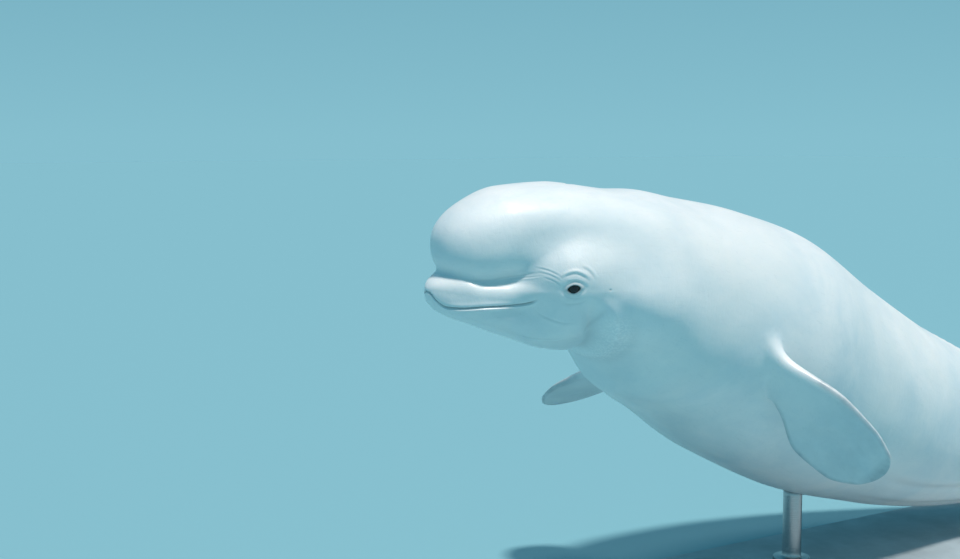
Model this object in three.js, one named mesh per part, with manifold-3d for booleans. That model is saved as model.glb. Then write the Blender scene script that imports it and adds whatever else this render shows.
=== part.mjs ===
// Beluga whale, life size, on a plain display stand.
// Millimetres, +Z up. The origin is the centre of the underside of the stand's base.
// The whale heads to -X.
// The body is described on a straight spine and then bent: x runs from the beak to the tail,
// y runs to the whale's right (+) and left (-), and z runs up.

import * as THREE from 'three';
import { mergeVertices } from 'three/addons/utils/BufferGeometryUtils.js';
import Module from 'manifold-3d';

const wasm = await Module();
wasm.setup();

// Gap kept between solids that touch
const gap = 0.3;
const cutHalfWidth = 250;

// The pose: turns of the spine in degrees at distances behind the beak
const spineStep = 5;
const spineEnd = 4200;
const beakPlace = new THREE.Vector3(-1890, 40, 1060);
const yawTurns = [[0, -7], [400, -7], [620, 8], [1100, 16], [1800, 4], [2800, -7], [spineEnd, -7]];
const pitchTurns = [[0, -0.5], [380, -0.5], [720, 17.5], [1100, 21], [1600, 22.5], [2200, 19], [3000, 1],
  [3700, -6], [spineEnd, -6]];
const rollTurn = -2;

// Forms of the body. Each has a rounded nose, a shoulder where it reaches full size, and stations of
// [distance, top, bottom, half width].
const melonForm = {
  nose: 28, shoulder: 196, nosePower: 2.6, sectionPower: 2.25,
  stations: [[0, 222, 33, 116], [120, 258, 17, 145], [220, 289, 25, 164], [360, 297, 0, 188],
    [500, 268, -60, 195], [750, 200, -100, 150], [1000, 20, -20, 20]],
};
const lipForm = {
  nose: 2, shoulder: 110, nosePower: 1.9, sectionPower: 2.3,
  stations: [[0, 70, -40, 95], [60, 74, -50, 106], [120, 59, -50, 124], [200, 63, -50, 150],
    [280, 76, -55, 171], [360, 80, -60, 190], [500, 60, -80, 195], [800, 20, -20, 20]],
};
const jawForm = {
  nose: 19, shoulder: 130, nosePower: 2.3, sectionPower: 2.2,
  stations: [[0, 20, -53, 89], [100, 10, -77, 108], [200, 10, -115, 138], [300, 20, -148, 166],
    [400, 30, -162, 192], [520, 30, -158, 205], [700, 0, -150, 150], [950, 20, -20, 20]],
};
const trunkForm = {
  nose: 300, shoulder: 620, nosePower: 2, sectionPower: 2.1,
  stations: [[300, 270, -140, 195], [500, 261, -179, 222], [600, 287, -231, 248], [720, 307, -294, 286],
    [980, 356, -333, 352], [1300, 395, -376, 396], [1650, 370, -388, 392], [2000, 340, -356, 356],
    [2400, 296, -293, 278], [2800, 210, -216, 188], [3200, 147, -152, 112], [3500, 97, -101, 67],
    [3650, 72, -74, 54], [3770, 45, -45, 49], [3860, 17, -17, 46], [3920, 8, -8, 44]],
};
const browBulge = { x: 362, y: 150, z: 70, reach: [85, 62, 50] };
const jawBulge = { x: 352, y: 120, z: -66, reach: [95, 85, 74] };
// The cheeks fall in below the eyes. Each pair or row tells where it starts, is full, fades and ends.
const cheek = { depth: 23, top: 22, bottom: -96, out: [60, 160], along: [150, 260, 370, 580] };
const throatCrease = { x: 368, depth: 11, width: 26, lean: -0.45, rollBack: 52, rollHeight: 8,
  fadeTop: -10, fadeBottom: 70 };
const backRidge = { start: 1950, end: 2800, fade: 250, height: 16, width: 26 };
const axisHeights = [[0, 55], [170, 55], [500, 40], [750, 30], [spineEnd, 0]];
const noseCentre = 170;
// The forms of the head have run out before this distance
const headReach = 2500;

// Where the body is parted
const neckStart = 450;
const chestStart = 760;
const torsoStart = 1250;
const loinStart = 2000;
const stockStart = 2700;
const stockEnd = 3860;

// The line of the mouth, side view, and how the lower jaw runs on behind its corner
const mouthLine = [[-60, 16], [0, 12], [14, -11], [34, -25], [60, -26], [110, -22], [170, -20], [210, -17],
  [235, -11], [250, -1]];
const mouthCorner = 250;
const jawCut = [[280, -22], [325, -62], [375, -100], [412, -150], [428, -215]];
const lipGroove = { reach: 6, halfHeight: 4 };

// The cut between the melon and the rest of the head, side view
const melonCut = [[-60, 72], [30, 62], [70, 54], [110, 47], [150, 49], [190, 56], [235, 67], [280, 90],
  [318, 130], [346, 200], [362, 380]];

const eye = { x: 326, z: 29, radius: 21, proud: 3, opening: [16, 11], lid: 4 };
const blowhole = { x: 402, halfWidth: 34, bow: 20, reach: 7, halfHeight: 4 };

// A flipper's plan: how far its two edges stand from its length line, at shares of the length.
// Each one's root has its own place, because the shoulders swing with the stroke,
// and curl is how far the tip turns up.
const flipper = {
  length: 435, thickness: 46, tipShare: 0.25, rootDepth: 0.24, roundFrom: 0.92,
  lead: [[0, 45], [0.25, 76], [0.5, 95], [0.75, 88], [1, 50]],
  trail: [[0, 72], [0.25, 108], [0.5, 166], [0.75, 152], [1, 62]],
  curlFrom: 0.45,
  left: { x: 965, side: 0.94, z: -105, sweep: 30, droop: 32, twist: 64, curl: 0 },
  right: { x: 1025, side: 0.82, z: -192, sweep: 35, droop: 13.5, twist: -13, curl: 20 },
};

const fluke = {
  halfSpan: 470, thickness: 52, tipThickness: 9,
  lead: [[0, 3500], [50, 3560], [75, 3612], [120, 3672], [220, 3757], [330, 3838], [420, 3915], [470, 3990]],
  trail: [[0, 3905], [25, 3945], [90, 4005], [190, 4035], [300, 4040], [400, 4025], [470, 3990]],
};

const base = { length: 2300, width: 900, height: 40, corner: 120, bevel: 4 };
const rod = { radius: 32, sides: 24 };
const frontRod = { along: 1640 };
const rearRod = { along: 2900 };

// Small tools

function through(points) {
  // a smooth line through [distance, value] points that never overshoots them
  const xs = points.map((p) => p[0]);
  const ys = points.map((p) => p[1]);
  const count = xs.length;
  const steps = xs.slice(1).map((x, i) => x - xs[i]);
  const slopes = steps.map((step, i) => (ys[i + 1] - ys[i]) / step);
  const tangents = new Array(count).fill(0);
  for (let i = 1; i < count - 1; i++) {
    if (slopes[i - 1] * slopes[i] > 0) {
      const before = 2 * steps[i] + steps[i - 1];
      const after = steps[i] + 2 * steps[i - 1];
      tangents[i] = (before + after) / (before / slopes[i - 1] + after / slopes[i]);
    }
  }
  tangents[0] = slopes[0];
  tangents[count - 1] = slopes[count - 2];
  return (x) => {
    const held = Math.min(Math.max(x, xs[0]), xs[count - 1]);
    let i = 0;
    while (i < count - 2 && held > xs[i + 1]) {
      i++;
    }
    const t = (held - xs[i]) / steps[i];
    const a = ys[i] * (1 + 2 * t) * (1 - t) ** 2 + tangents[i] * steps[i] * t * (1 - t) ** 2;
    const b = ys[i + 1] * t * t * (3 - 2 * t) + tangents[i + 1] * steps[i] * t * t * (t - 1);
    return a + b;
  };
}

function smoothStep(x, from, to) {
  const t = Math.min(Math.max((x - from) / (to - from), 0), 1);
  return t * t * (3 - 2 * t);
}

function smoothMin(a, b, blend) {
  const h = Math.max(blend - Math.abs(a - b), 0) / blend;
  return Math.min(a, b) - (h * h * blend) / 4;
}

// The spine

function buildSpine() {
  const yawAt = through(yawTurns);
  const pitchAt = through(pitchTurns);
  const roll = THREE.MathUtils.degToRad(rollTurn);
  const frames = [];
  const place = beakPlace.clone();
  for (let s = 0; s <= spineEnd; s += spineStep) {
    const yaw = THREE.MathUtils.degToRad(yawAt(s));
    const pitch = THREE.MathUtils.degToRad(pitchAt(s));
    const flat = Math.cos(pitch);
    const back = new THREE.Vector3(flat * Math.cos(yaw), flat * Math.sin(yaw), -Math.sin(pitch));
    const level = new THREE.Vector3(-Math.sin(yaw), Math.cos(yaw), 0);
    const upright = back.clone().cross(level);
    const right = level.clone().multiplyScalar(Math.cos(roll)).addScaledVector(upright, -Math.sin(roll));
    const up = upright.clone().multiplyScalar(Math.cos(roll)).addScaledVector(level, Math.sin(roll));
    if (frames.length > 0) {
      const middle = frames[frames.length - 1].back.clone().add(back).multiplyScalar(spineStep / 2);
      place.add(middle);
    }
    frames.push({ place: place.clone(), back, right, up });
  }
  return frames;
}

const spine = buildSpine();

function bend(point) {
  // carries a point of the straight body onto the bent spine
  const held = Math.min(Math.max(point.x, 0), spineEnd - spineStep - 1);
  const index = Math.floor(held / spineStep);
  const share = held / spineStep - index;
  const here = spine[index];
  const next = spine[index + 1];
  const bent = here.place.clone().lerp(next.place, share);
  bent.addScaledVector(here.right.clone().lerp(next.right, share), point.y);
  bent.addScaledVector(here.up.clone().lerp(next.up, share), point.z);
  return bent.addScaledVector(here.back, point.x - held);
}

// The flesh as one blended form

function prepareForm(form) {
  const column = (k) => through(form.stations.map((station) => [station[0], station[k]]));
  return { ...form, top: column(1), bottom: column(2), half: column(3) };
}

const melonShape = prepareForm(melonForm);
const lipShape = prepareForm(lipForm);
const jawShape = prepareForm(jawForm);
const trunkShape = prepareForm(trunkForm);

function formDistance(form, x, y, z) {
  const top = form.top(x);
  const bottom = form.bottom(x);
  const half = form.half(x);
  const height = (top - bottom) / 2;
  const q = form.sectionPower;
  const across = (Math.abs(y) / half) ** q + (Math.abs(z - (top + bottom) / 2) / height) ** q;
  const ahead = Math.max(form.shoulder - x, 0) / (form.shoulder - form.nose);
  const radius = (ahead ** form.nosePower + across ** (form.nosePower / q)) ** (1 / form.nosePower);
  return (radius - 1) * Math.min(half, height);
}

// How softly the forms run into each other
const blends = { lip: [18, 118, 160, 420], jaw: [16, 76, 200, 400], trunk: 90, bulge: 70 };

function blendAt(x, [from, to, start, end]) {
  return from + (to - from) * smoothStep(x, start, end);
}

function bulgeDistance(bulge, x, y, z) {
  const [a, b, c] = bulge.reach;
  const radius = Math.hypot((x - bulge.x) / a, (Math.abs(y) - bulge.y) / b, (z - bulge.z) / c);
  return (radius - 1) * Math.min(a, b, c);
}

function cheekDepth(x, y, z) {
  const [start, full, fade, end] = cheek.along;
  const along = smoothStep(x, start, full) * (1 - smoothStep(x, fade, end));
  const down = smoothStep(-z, -cheek.top, -cheek.bottom);
  return cheek.depth * along * down * smoothStep(Math.abs(y), ...cheek.out);
}

function headDistance(x, y, z) {
  let d = formDistance(melonShape, x, y, z);
  d = smoothMin(d, formDistance(lipShape, x, y, z), blendAt(x, blends.lip));
  d = smoothMin(d, formDistance(jawShape, x, y, z), blendAt(x, blends.jaw));
  d = smoothMin(d, formDistance(trunkShape, x, y, z), blends.trunk);
  d = smoothMin(d, bulgeDistance(browBulge, x, y, z), blends.bulge);
  d = smoothMin(d, bulgeDistance(jawBulge, x, y, z), blends.bulge);
  return d + cheekDepth(x, y, z);
}

function fleshDistance(x, y, z) {
  let d = x < headReach ? headDistance(x, y, z) : formDistance(trunkShape, x, y, z);
  const behind = x - throatCrease.x - throatCrease.lean * z;
  const crease = throatCrease.depth * Math.exp(-((behind / throatCrease.width) ** 2));
  const past = behind - throatCrease.rollBack;
  const roll = throatCrease.rollHeight * Math.exp(-((past / throatCrease.width) ** 2));
  d += (crease - roll) * smoothStep(-z, throatCrease.fadeTop, throatCrease.fadeBottom);
  const { start, end, fade, height, width } = backRidge;
  if (z > 0 && x > start - fade) {
    const along = smoothStep(x, start - fade, start + fade) * (1 - smoothStep(x, end - fade, end + fade));
    d -= height * along * Math.exp(-((y / width) ** 2));
  }
  return d;
}

const castReach = 700;
const castPasses = 28;

function castOut(origin, direction, swell = 0) {
  // the point where a ray from inside leaves the flesh
  let near = 0;
  let far = castReach;
  for (let i = 0; i < castPasses; i++) {
    const middle = (near + far) / 2;
    const x = origin.x + direction.x * middle;
    const y = origin.y + direction.y * middle;
    const z = origin.z + direction.z * middle;
    if (fleshDistance(x, y, z) < 0) {
      near = middle;
    } else {
      far = middle;
    }
  }
  return origin.clone().addScaledVector(direction, near + swell);
}

// Closed meshes from rings of points

function skinRings(rings, startPoint, endPoint) {
  const sides = rings[0].length;
  const points = [startPoint, ...rings.flat(), endPoint];
  const faces = [];
  const last = points.length - 1;
  for (let j = 0; j < sides; j++) {
    const k = (j + 1) % sides;
    faces.push([0, 1 + k, 1 + j]);
    const row = 1 + (rings.length - 1) * sides;
    faces.push([last, row + j, row + k]);
  }
  for (let i = 0; i < rings.length - 1; i++) {
    for (let j = 0; j < sides; j++) {
      const k = (j + 1) % sides;
      const a = 1 + i * sides + j;
      const b = 1 + i * sides + k;
      const c = 1 + (i + 1) * sides + k;
      const d = 1 + (i + 1) * sides + j;
      faces.push([a, b, c], [a, c, d]);
    }
  }
  return makeSolid(points, faces);
}

function makeSolid(points, faces) {
  let volume = 0;
  for (const [a, b, c] of faces) {
    volume += points[a].dot(points[b].clone().cross(points[c]));
  }
  const turned = volume < 0 ? faces.map(([a, b, c]) => [a, c, b]) : faces;
  const vertProperties = new Float32Array(points.flatMap((p) => [p.x, p.y, p.z]));
  const triVerts = new Uint32Array(turned.flat());
  return new wasm.Manifold(new wasm.Mesh({ numProp: 3, vertProperties, triVerts }));
}

function middleOf(points) {
  const sum = points.reduce((total, p) => total.add(p), new THREE.Vector3());
  return sum.multiplyScalar(1 / points.length);
}

function largestPiece(solid) {
  return solid.decompose().reduce((best, piece) => (piece.volume() > best.volume() ? piece : best));
}

function solidFromGeometry(geometry) {
  const bare = geometry.clone();
  bare.deleteAttribute('normal');
  bare.deleteAttribute('uv');
  const merged = mergeVertices(bare, 1e-3);
  const vertProperties = new Float32Array(merged.attributes.position.array);
  const triVerts = new Uint32Array(merged.index.array);
  return new wasm.Manifold(new wasm.Mesh({ numProp: 3, vertProperties, triVerts }));
}

function geometryFromSolid(solid) {
  const mesh = solid.getMesh();
  const geometry = new THREE.BufferGeometry();
  geometry.setAttribute('position', new THREE.BufferAttribute(new Float32Array(mesh.vertProperties), 3));
  geometry.setIndex(new THREE.BufferAttribute(new Uint32Array(mesh.triVerts), 1));
  geometry.computeVertexNormals();
  return geometry;
}

// Body rings

const axisHeight = through(axisHeights);

function bodyRing(x, columns, swell) {
  const origin = new THREE.Vector3(x, 0, axisHeight(x));
  const ring = [];
  for (let j = 0; j < columns; j++) {
    const angle = (2 * Math.PI * j) / columns + Math.PI / 2;
    const direction = new THREE.Vector3(0, Math.cos(angle), Math.sin(angle));
    ring.push(castOut(origin, direction, swell));
  }
  return ring;
}

function bodyPiece(from, to, rows, columns, swell = 0) {
  const rings = [];
  for (let i = 0; i <= rows; i++) {
    rings.push(bodyRing(from + ((to - from) * i) / rows, columns, swell).map(bend));
  }
  const start = bend(new THREE.Vector3(from, 0, axisHeight(from)));
  const end = bend(new THREE.Vector3(to, 0, axisHeight(to)));
  return skinRings(rings, start, end);
}

function headPiece(columns, swell = 0) {
  const centre = new THREE.Vector3(noseCentre, 0, axisHeight(noseCentre));
  const noseRows = 12;
  const backRows = 10;
  const rings = [];
  for (let i = 1; i <= noseRows; i++) {
    const open = (Math.PI / 2) * (i / noseRows);
    const ring = [];
    for (let j = 0; j < columns; j++) {
      const angle = (2 * Math.PI * j) / columns + Math.PI / 2;
      const spread = Math.sin(open);
      const sideways = spread * Math.cos(angle);
      const direction = new THREE.Vector3(-Math.cos(open), sideways, spread * Math.sin(angle));
      ring.push(bend(castOut(centre, direction, swell)));
    }
    rings.push(ring);
  }
  const end = neckStart - gap / 2;
  for (let i = 1; i <= backRows; i++) {
    rings.push(bodyRing(noseCentre + ((end - noseCentre) * i) / backRows, columns, swell).map(bend));
  }
  const tip = bend(castOut(centre, new THREE.Vector3(-1, 0, 0), swell));
  return skinRings(rings, tip, bend(new THREE.Vector3(end, 0, axisHeight(end))));
}

// Cutting tools

function sideCut(points, halfWidth) {
  // a sheet as thick as the gap that follows a line of the side view right through the head,
  // with both faces split into triangles alike
  const corners = [];
  for (let i = 0; i < points.length; i++) {
    const before = points[Math.max(i - 1, 0)];
    const after = points[Math.min(i + 1, points.length - 1)];
    const run = new THREE.Vector2(after[0] - before[0], after[1] - before[1]).normalize();
    const dx = (-run.y * gap) / 2;
    const dz = (run.x * gap) / 2;
    for (const [sign, y] of [[1, -halfWidth], [1, halfWidth], [-1, halfWidth], [-1, -halfWidth]]) {
      corners.push(bend(new THREE.Vector3(points[i][0] + sign * dx, y, points[i][1] + sign * dz)));
    }
  }
  const faces = [[0, 3, 2], [0, 2, 1]];
  const last = (points.length - 1) * 4;
  faces.push([last, last + 1, last + 2], [last, last + 2, last + 3]);
  for (let a = 0; a < last; a += 4) {
    faces.push([a, a + 1, a + 5], [a, a + 5, a + 4]);
    faces.push([a + 1, a + 2, a + 6], [a + 1, a + 6, a + 5]);
    faces.push([a + 3, a + 6, a + 2], [a + 3, a + 7, a + 6]);
    faces.push([a, a + 7, a + 3], [a, a + 4, a + 7]);
  }
  return makeSolid(corners, faces);
}

function grooveTool(path, reach, halfHeight, up) {
  // a thin four-sided prism along a line on the skin
  const rings = path.map((spot, i) => {
    const before = path[Math.max(i - 1, 0)].point;
    const after = path[Math.min(i + 1, path.length - 1)].point;
    const run = after.clone().sub(before).normalize();
    const out = run.clone().cross(up(spot)).normalize();
    if (out.dot(spot.outward) < 0) {
      out.negate();
    }
    const side = out.clone().cross(run).normalize();
    return [
      spot.point.clone().addScaledVector(out, reach),
      spot.point.clone().addScaledVector(side, halfHeight),
      spot.point.clone().addScaledVector(out, -reach),
      spot.point.clone().addScaledVector(side, -halfHeight),
    ].map(bend);
  });
  return skinRings(rings, middleOf(rings[0]), middleOf(rings[rings.length - 1]));
}

function mouthPath() {
  const mouthHeight = through(mouthLine);
  const spots = [];
  const addSpot = (x, direction) => {
    let height = mouthHeight(x);
    let point = null;
    for (let pass = 0; pass < 4; pass++) {
      point = castOut(new THREE.Vector3(x, 0, height), direction);
      height = mouthHeight(point.x);
    }
    spots.push({ point: new THREE.Vector3(point.x, point.y, height), outward: direction });
  };
  const sideSteps = 5;
  const frontSteps = 18;
  for (let i = 0; i < sideSteps; i++) {
    const x = mouthCorner - ((mouthCorner - noseCentre) * i) / sideSteps;
    addSpot(x, new THREE.Vector3(0, -1, 0));
  }
  for (let i = 0; i <= frontSteps; i++) {
    const angle = -Math.PI / 2 + (Math.PI * i) / frontSteps;
    addSpot(noseCentre, new THREE.Vector3(-Math.cos(angle), Math.sin(angle), 0));
  }
  for (let i = sideSteps - 1; i >= 0; i--) {
    const x = mouthCorner - ((mouthCorner - noseCentre) * i) / sideSteps;
    addSpot(x, new THREE.Vector3(0, 1, 0));
  }
  return spots;
}

function blowholePath() {
  const spots = [];
  const steps = 10;
  for (let i = 0; i <= steps; i++) {
    const share = -1 + (2 * i) / steps;
    const x = blowhole.x - blowhole.bow * share * share;
    const origin = new THREE.Vector3(x, share * blowhole.halfWidth, 100);
    const outward = new THREE.Vector3(0, 0, 1);
    spots.push({ point: castOut(origin, outward), outward });
  }
  return spots;
}

// Eyes

function eyeFrame(side) {
  const origin = new THREE.Vector3(eye.x, 0, eye.z);
  const spot = castOut(origin, new THREE.Vector3(0, side, 0));
  const step = 6;
  const slope = (dx, dz) => {
    const ahead = castOut(new THREE.Vector3(eye.x + dx, 0, eye.z + dz), new THREE.Vector3(0, side, 0));
    return ahead.sub(spot).normalize();
  };
  const forward = slope(-step, 0);
  const upward = slope(0, step);
  const outward = forward.clone().cross(upward).normalize();
  if (outward.y * side < 0) {
    outward.negate();
  }
  return { spot, forward, upward: outward.clone().cross(forward).multiplyScalar(side), outward };
}

function eyeCentre(frame) {
  return bend(frame.spot.clone().addScaledVector(frame.outward, eye.proud - eye.radius));
}

function eyeball(side, extra) {
  const centre = eyeCentre(eyeFrame(side));
  const sphere = new THREE.SphereGeometry(eye.radius + extra, 14, 9);
  sphere.translate(centre.x, centre.y, centre.z);
  return solidFromGeometry(sphere);
}

function lidRing(side) {
  const frame = eyeFrame(side);
  const steps = 18;
  const around = 5;
  const points = [];
  const faces = [];
  for (let i = 0; i < steps; i++) {
    const turn = (2 * Math.PI * i) / steps;
    const out = frame.forward.clone().multiplyScalar(Math.cos(turn) * eye.opening[0]);
    out.addScaledVector(frame.upward, Math.sin(turn) * eye.opening[1]);
    const away = out.clone().normalize();
    for (let j = 0; j < around; j++) {
      const angle = (2 * Math.PI * j) / around;
      const point = frame.spot.clone().add(out).addScaledVector(away, eye.lid * (1 + Math.cos(angle)));
      point.addScaledVector(frame.outward, eye.lid * Math.sin(angle));
      points.push(bend(point));
      const next = ((i + 1) % steps) * around;
      const k = (j + 1) % around;
      faces.push([i * around + j, i * around + k, next + k], [i * around + j, next + k, next + j]);
    }
  }
  return makeSolid(points, faces);
}

// Head

function buildHead() {
  let head = headPiece(44);
  for (const side of [-1, 1]) {
    head = head.add(lidRing(side));
  }
  for (const side of [-1, 1]) {
    head = head.subtract(eyeball(side, gap));
  }
  const upward = () => new THREE.Vector3(0, 0, 1);
  head = head.subtract(grooveTool(mouthPath(), lipGroove.reach, lipGroove.halfHeight, upward));
  const backward = () => new THREE.Vector3(1, 0, 0);
  head = head.subtract(grooveTool(blowholePath(), blowhole.reach, blowhole.halfHeight, backward));
  const mouthHeight = through(mouthLine);
  const jawLine = [];
  for (let x = mouthLine[0][0]; x <= mouthCorner; x += 25) {
    jawLine.push([x, mouthHeight(x)]);
  }
  head = head.subtract(sideCut([...jawLine, ...jawCut], cutHalfWidth));
  head = head.subtract(sideCut(melonCut, cutHalfWidth));
  const pieces = head.decompose().sort((a, b) => b.volume() - a.volume()).slice(0, 3);
  const height = (piece) => {
    const box = piece.boundingBox();
    return (box.min[2] + box.max[2]) / 2;
  };
  const [skull, ...others] = pieces;
  const byHeight = others.sort((a, b) => height(b) - height(a));
  return { skull, melon: byHeight[0], jaw: byHeight[1] };
}

// Flippers

function flipperFrame(side, turn) {
  const sweep = THREE.MathUtils.degToRad(turn.sweep);
  const droop = THREE.MathUtils.degToRad(turn.droop);
  const twist = THREE.MathUtils.degToRad(turn.twist);
  const out = Math.cos(droop);
  const along = new THREE.Vector3(Math.sin(sweep) * out, -Math.cos(sweep) * out, -Math.sin(droop));
  const level = new THREE.Vector3(1, 0, 0).addScaledVector(along, -along.x).normalize();
  const normal = along.clone().cross(level);
  const back = level.clone().multiplyScalar(Math.cos(twist)).addScaledVector(normal, -Math.sin(twist));
  const mirror = new THREE.Vector3(1, -side, 1);
  along.multiply(mirror);
  back.multiply(mirror);
  return { along, back, palm: along.clone().cross(back).multiplyScalar(-side) };
}

const flipperLead = through(flipper.lead);
const flipperTrail = through(flipper.trail);

function flipperSolid(side, turn) {
  const frame = flipperFrame(side, turn);
  const root = new THREE.Vector3(turn.x, side * turn.side * trunkShape.half(turn.x), turn.z);
  const rows = 14;
  const columns = 18;
  const firstStep = 0.4;
  const frontFullness = 0.35;
  const rings = [];
  const place = (share, chordwise, thick) => {
    const point = root.clone().addScaledVector(frame.along, share * flipper.length);
    point.addScaledVector(frame.back, chordwise);
    const curled = Math.max(share - flipper.curlFrom, 0) / (1 - flipper.curlFrom);
    return point.addScaledVector(frame.palm, thick - turn.curl * curled ** 2);
  };
  for (let i = 0; i < rows; i++) {
    const reach = Math.sin((Math.PI / 2) * ((i + firstStep) / rows));
    const share = -flipper.rootDepth + (1 + flipper.rootDepth) * reach;
    const held = Math.max(share, 0);
    const past = Math.max(held - flipper.roundFrom, 0) / (1 - flipper.roundFrom);
    const round = Math.sqrt(Math.max(1 - past ** 2, 0));
    const lead = flipperLead(held) * round;
    const trail = flipperTrail(held) * round;
    const thick = (flipper.thickness / 2) * (1 - (1 - flipper.tipShare) * held) * Math.max(round, 0.5);
    const ring = [];
    for (let j = 0; j < columns; j++) {
      const angle = (2 * Math.PI * j) / columns;
      const chordwise = (trail - lead) / 2 + ((trail + lead) / 2) * Math.cos(angle);
      const profile = Math.sin(angle) * (1 - frontFullness * Math.cos(angle));
      ring.push(bend(place(share, chordwise, thick * profile)));
    }
    rings.push(ring);
  }
  return skinRings(rings, middleOf(rings[0]), bend(place(1, 0, 0)));
}

// Flukes

function flukeSolid(side) {
  const leadAt = through(fluke.lead);
  const trailAt = through(fluke.trail);
  const rows = 14;
  const columns = 20;
  const rings = [];
  for (let i = 0; i < rows; i++) {
    const share = Math.sin((Math.PI / 2) * (i / rows));
    const out = gap / 2 + (fluke.halfSpan - gap / 2) * share;
    const lead = leadAt(out);
    const trail = trailAt(out);
    const chord = trail - lead;
    const edge = Math.sqrt(Math.max(1 - share ** 4, 0));
    const thick = (fluke.tipThickness + (fluke.thickness - fluke.tipThickness) * (1 - share) ** 1.3) / 2;
    const ring = [];
    for (let j = 0; j < columns; j++) {
      const angle = (2 * Math.PI * j) / columns;
      const x = lead + (chord / 2) * (1 - Math.cos(angle));
      const profile = Math.sin(angle) * (1 + 0.4 * Math.cos(angle));
      ring.push(bend(new THREE.Vector3(x, side * out, thick * edge * profile)));
    }
    rings.push(ring);
  }
  const tip = bend(new THREE.Vector3(leadAt(fluke.halfSpan), side * fluke.halfSpan, 0));
  return skinRings(rings, middleOf(rings[0]), tip);
}

// Stand

function standBase() {
  const outline = new THREE.Shape();
  const x = base.length / 2 - base.bevel;
  const y = base.width / 2 - base.bevel;
  const r = base.corner;
  outline.moveTo(-x + r, -y);
  outline.lineTo(x - r, -y);
  outline.absarc(x - r, -y + r, r, -Math.PI / 2, 0, false);
  outline.lineTo(x, y - r);
  outline.absarc(x - r, y - r, r, 0, Math.PI / 2, false);
  outline.lineTo(-x + r, y);
  outline.absarc(-x + r, y - r, r, Math.PI / 2, Math.PI, false);
  outline.lineTo(-x, -y + r);
  outline.absarc(-x + r, -y + r, r, Math.PI, 1.5 * Math.PI, false);
  const geometry = new THREE.ExtrudeGeometry(outline, {
    depth: base.height - 2 * base.bevel,
    bevelEnabled: true,
    bevelThickness: base.bevel,
    bevelSize: base.bevel,
    bevelSegments: 1,
    curveSegments: 5,
  });
  geometry.translate(0, 0, base.bevel);
  return solidFromGeometry(geometry);
}

function standRod(along, body) {
  const foot = bend(new THREE.Vector3(along, 0, axisHeight(along)));
  const bottom = base.height + gap;
  const top = foot.z;
  const geometry = new THREE.CylinderGeometry(rod.radius, rod.radius, top - bottom, rod.sides);
  geometry.rotateX(Math.PI / 2);
  geometry.translate(foot.x, foot.y, (top + bottom) / 2);
  return largestPiece(solidFromGeometry(geometry).subtract(body));
}

// The whole model

const skin = { color: 0xeef1ee, roughness: 0.45, metalness: 0 };
const materials = {
  skin: new THREE.MeshStandardMaterial(skin),
  eye: new THREE.MeshStandardMaterial({ color: 0x10151c, roughness: 0.08, metalness: 0 }),
  base: new THREE.MeshStandardMaterial({ color: 0x9aa5aa, roughness: 0.5, metalness: 0 }),
  rod: new THREE.MeshStandardMaterial({ color: 0xb4b8bc, roughness: 0.35, metalness: 1 }),
};

const whale = new THREE.Group();

function addNode(name, solid, material) {
  const mesh = new THREE.Mesh(geometryFromSolid(solid), material);
  mesh.name = name;
  whale.add(mesh);
}

const head = buildHead();
addNode('head', head.skull, materials.skin);
addNode('melon', head.melon, materials.skin);
addNode('lower_jaw', head.jaw, materials.skin);
addNode('eye_left', eyeball(-1, 0), materials.eye);
addNode('eye_right', eyeball(1, 0), materials.eye);

// The body behind the head, and the same lengths swollen by the gap, which leave room round each root
const half = gap / 2;
const lengths = {
  neck: { from: neckStart + half, to: chestStart - half, rows: 7, columns: 40 },
  chest: { from: chestStart + half, to: torsoStart - half, rows: 9, columns: 40 },
  torso: { from: torsoStart + half, to: loinStart - half, rows: 10, columns: 40 },
  loin: { from: loinStart + half, to: stockStart - half, rows: 10, columns: 40 },
  tail_stock: { from: stockStart + half, to: stockEnd, rows: 14, columns: 32 },
};
for (const [name, length] of Object.entries(lengths)) {
  addNode(name, bodyPiece(length.from, length.to, length.rows, length.columns), materials.skin);
}

function roomFor(name) {
  const length = lengths[name];
  return bodyPiece(length.from, length.to + gap, length.rows, length.columns, gap);
}

function fitAgainst(solid, name) {
  return largestPiece(solid.subtract(roomFor(name)));
}

addNode('flipper_left', fitAgainst(flipperSolid(-1, flipper.left), 'chest'), materials.skin);
addNode('flipper_right', fitAgainst(flipperSolid(1, flipper.right), 'chest'), materials.skin);
addNode('fluke_left', fitAgainst(flukeSolid(-1), 'tail_stock'), materials.skin);
addNode('fluke_right', fitAgainst(flukeSolid(1), 'tail_stock'), materials.skin);

addNode('stand_base', standBase(), materials.base);
addNode('stand_rod_front', standRod(frontRod.along, roomFor('torso')), materials.rod);
addNode('stand_rod_rear', standRod(rearRod.along, roomFor('tail_stock')), materials.rod);

export default whale;
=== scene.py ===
import math

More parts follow.
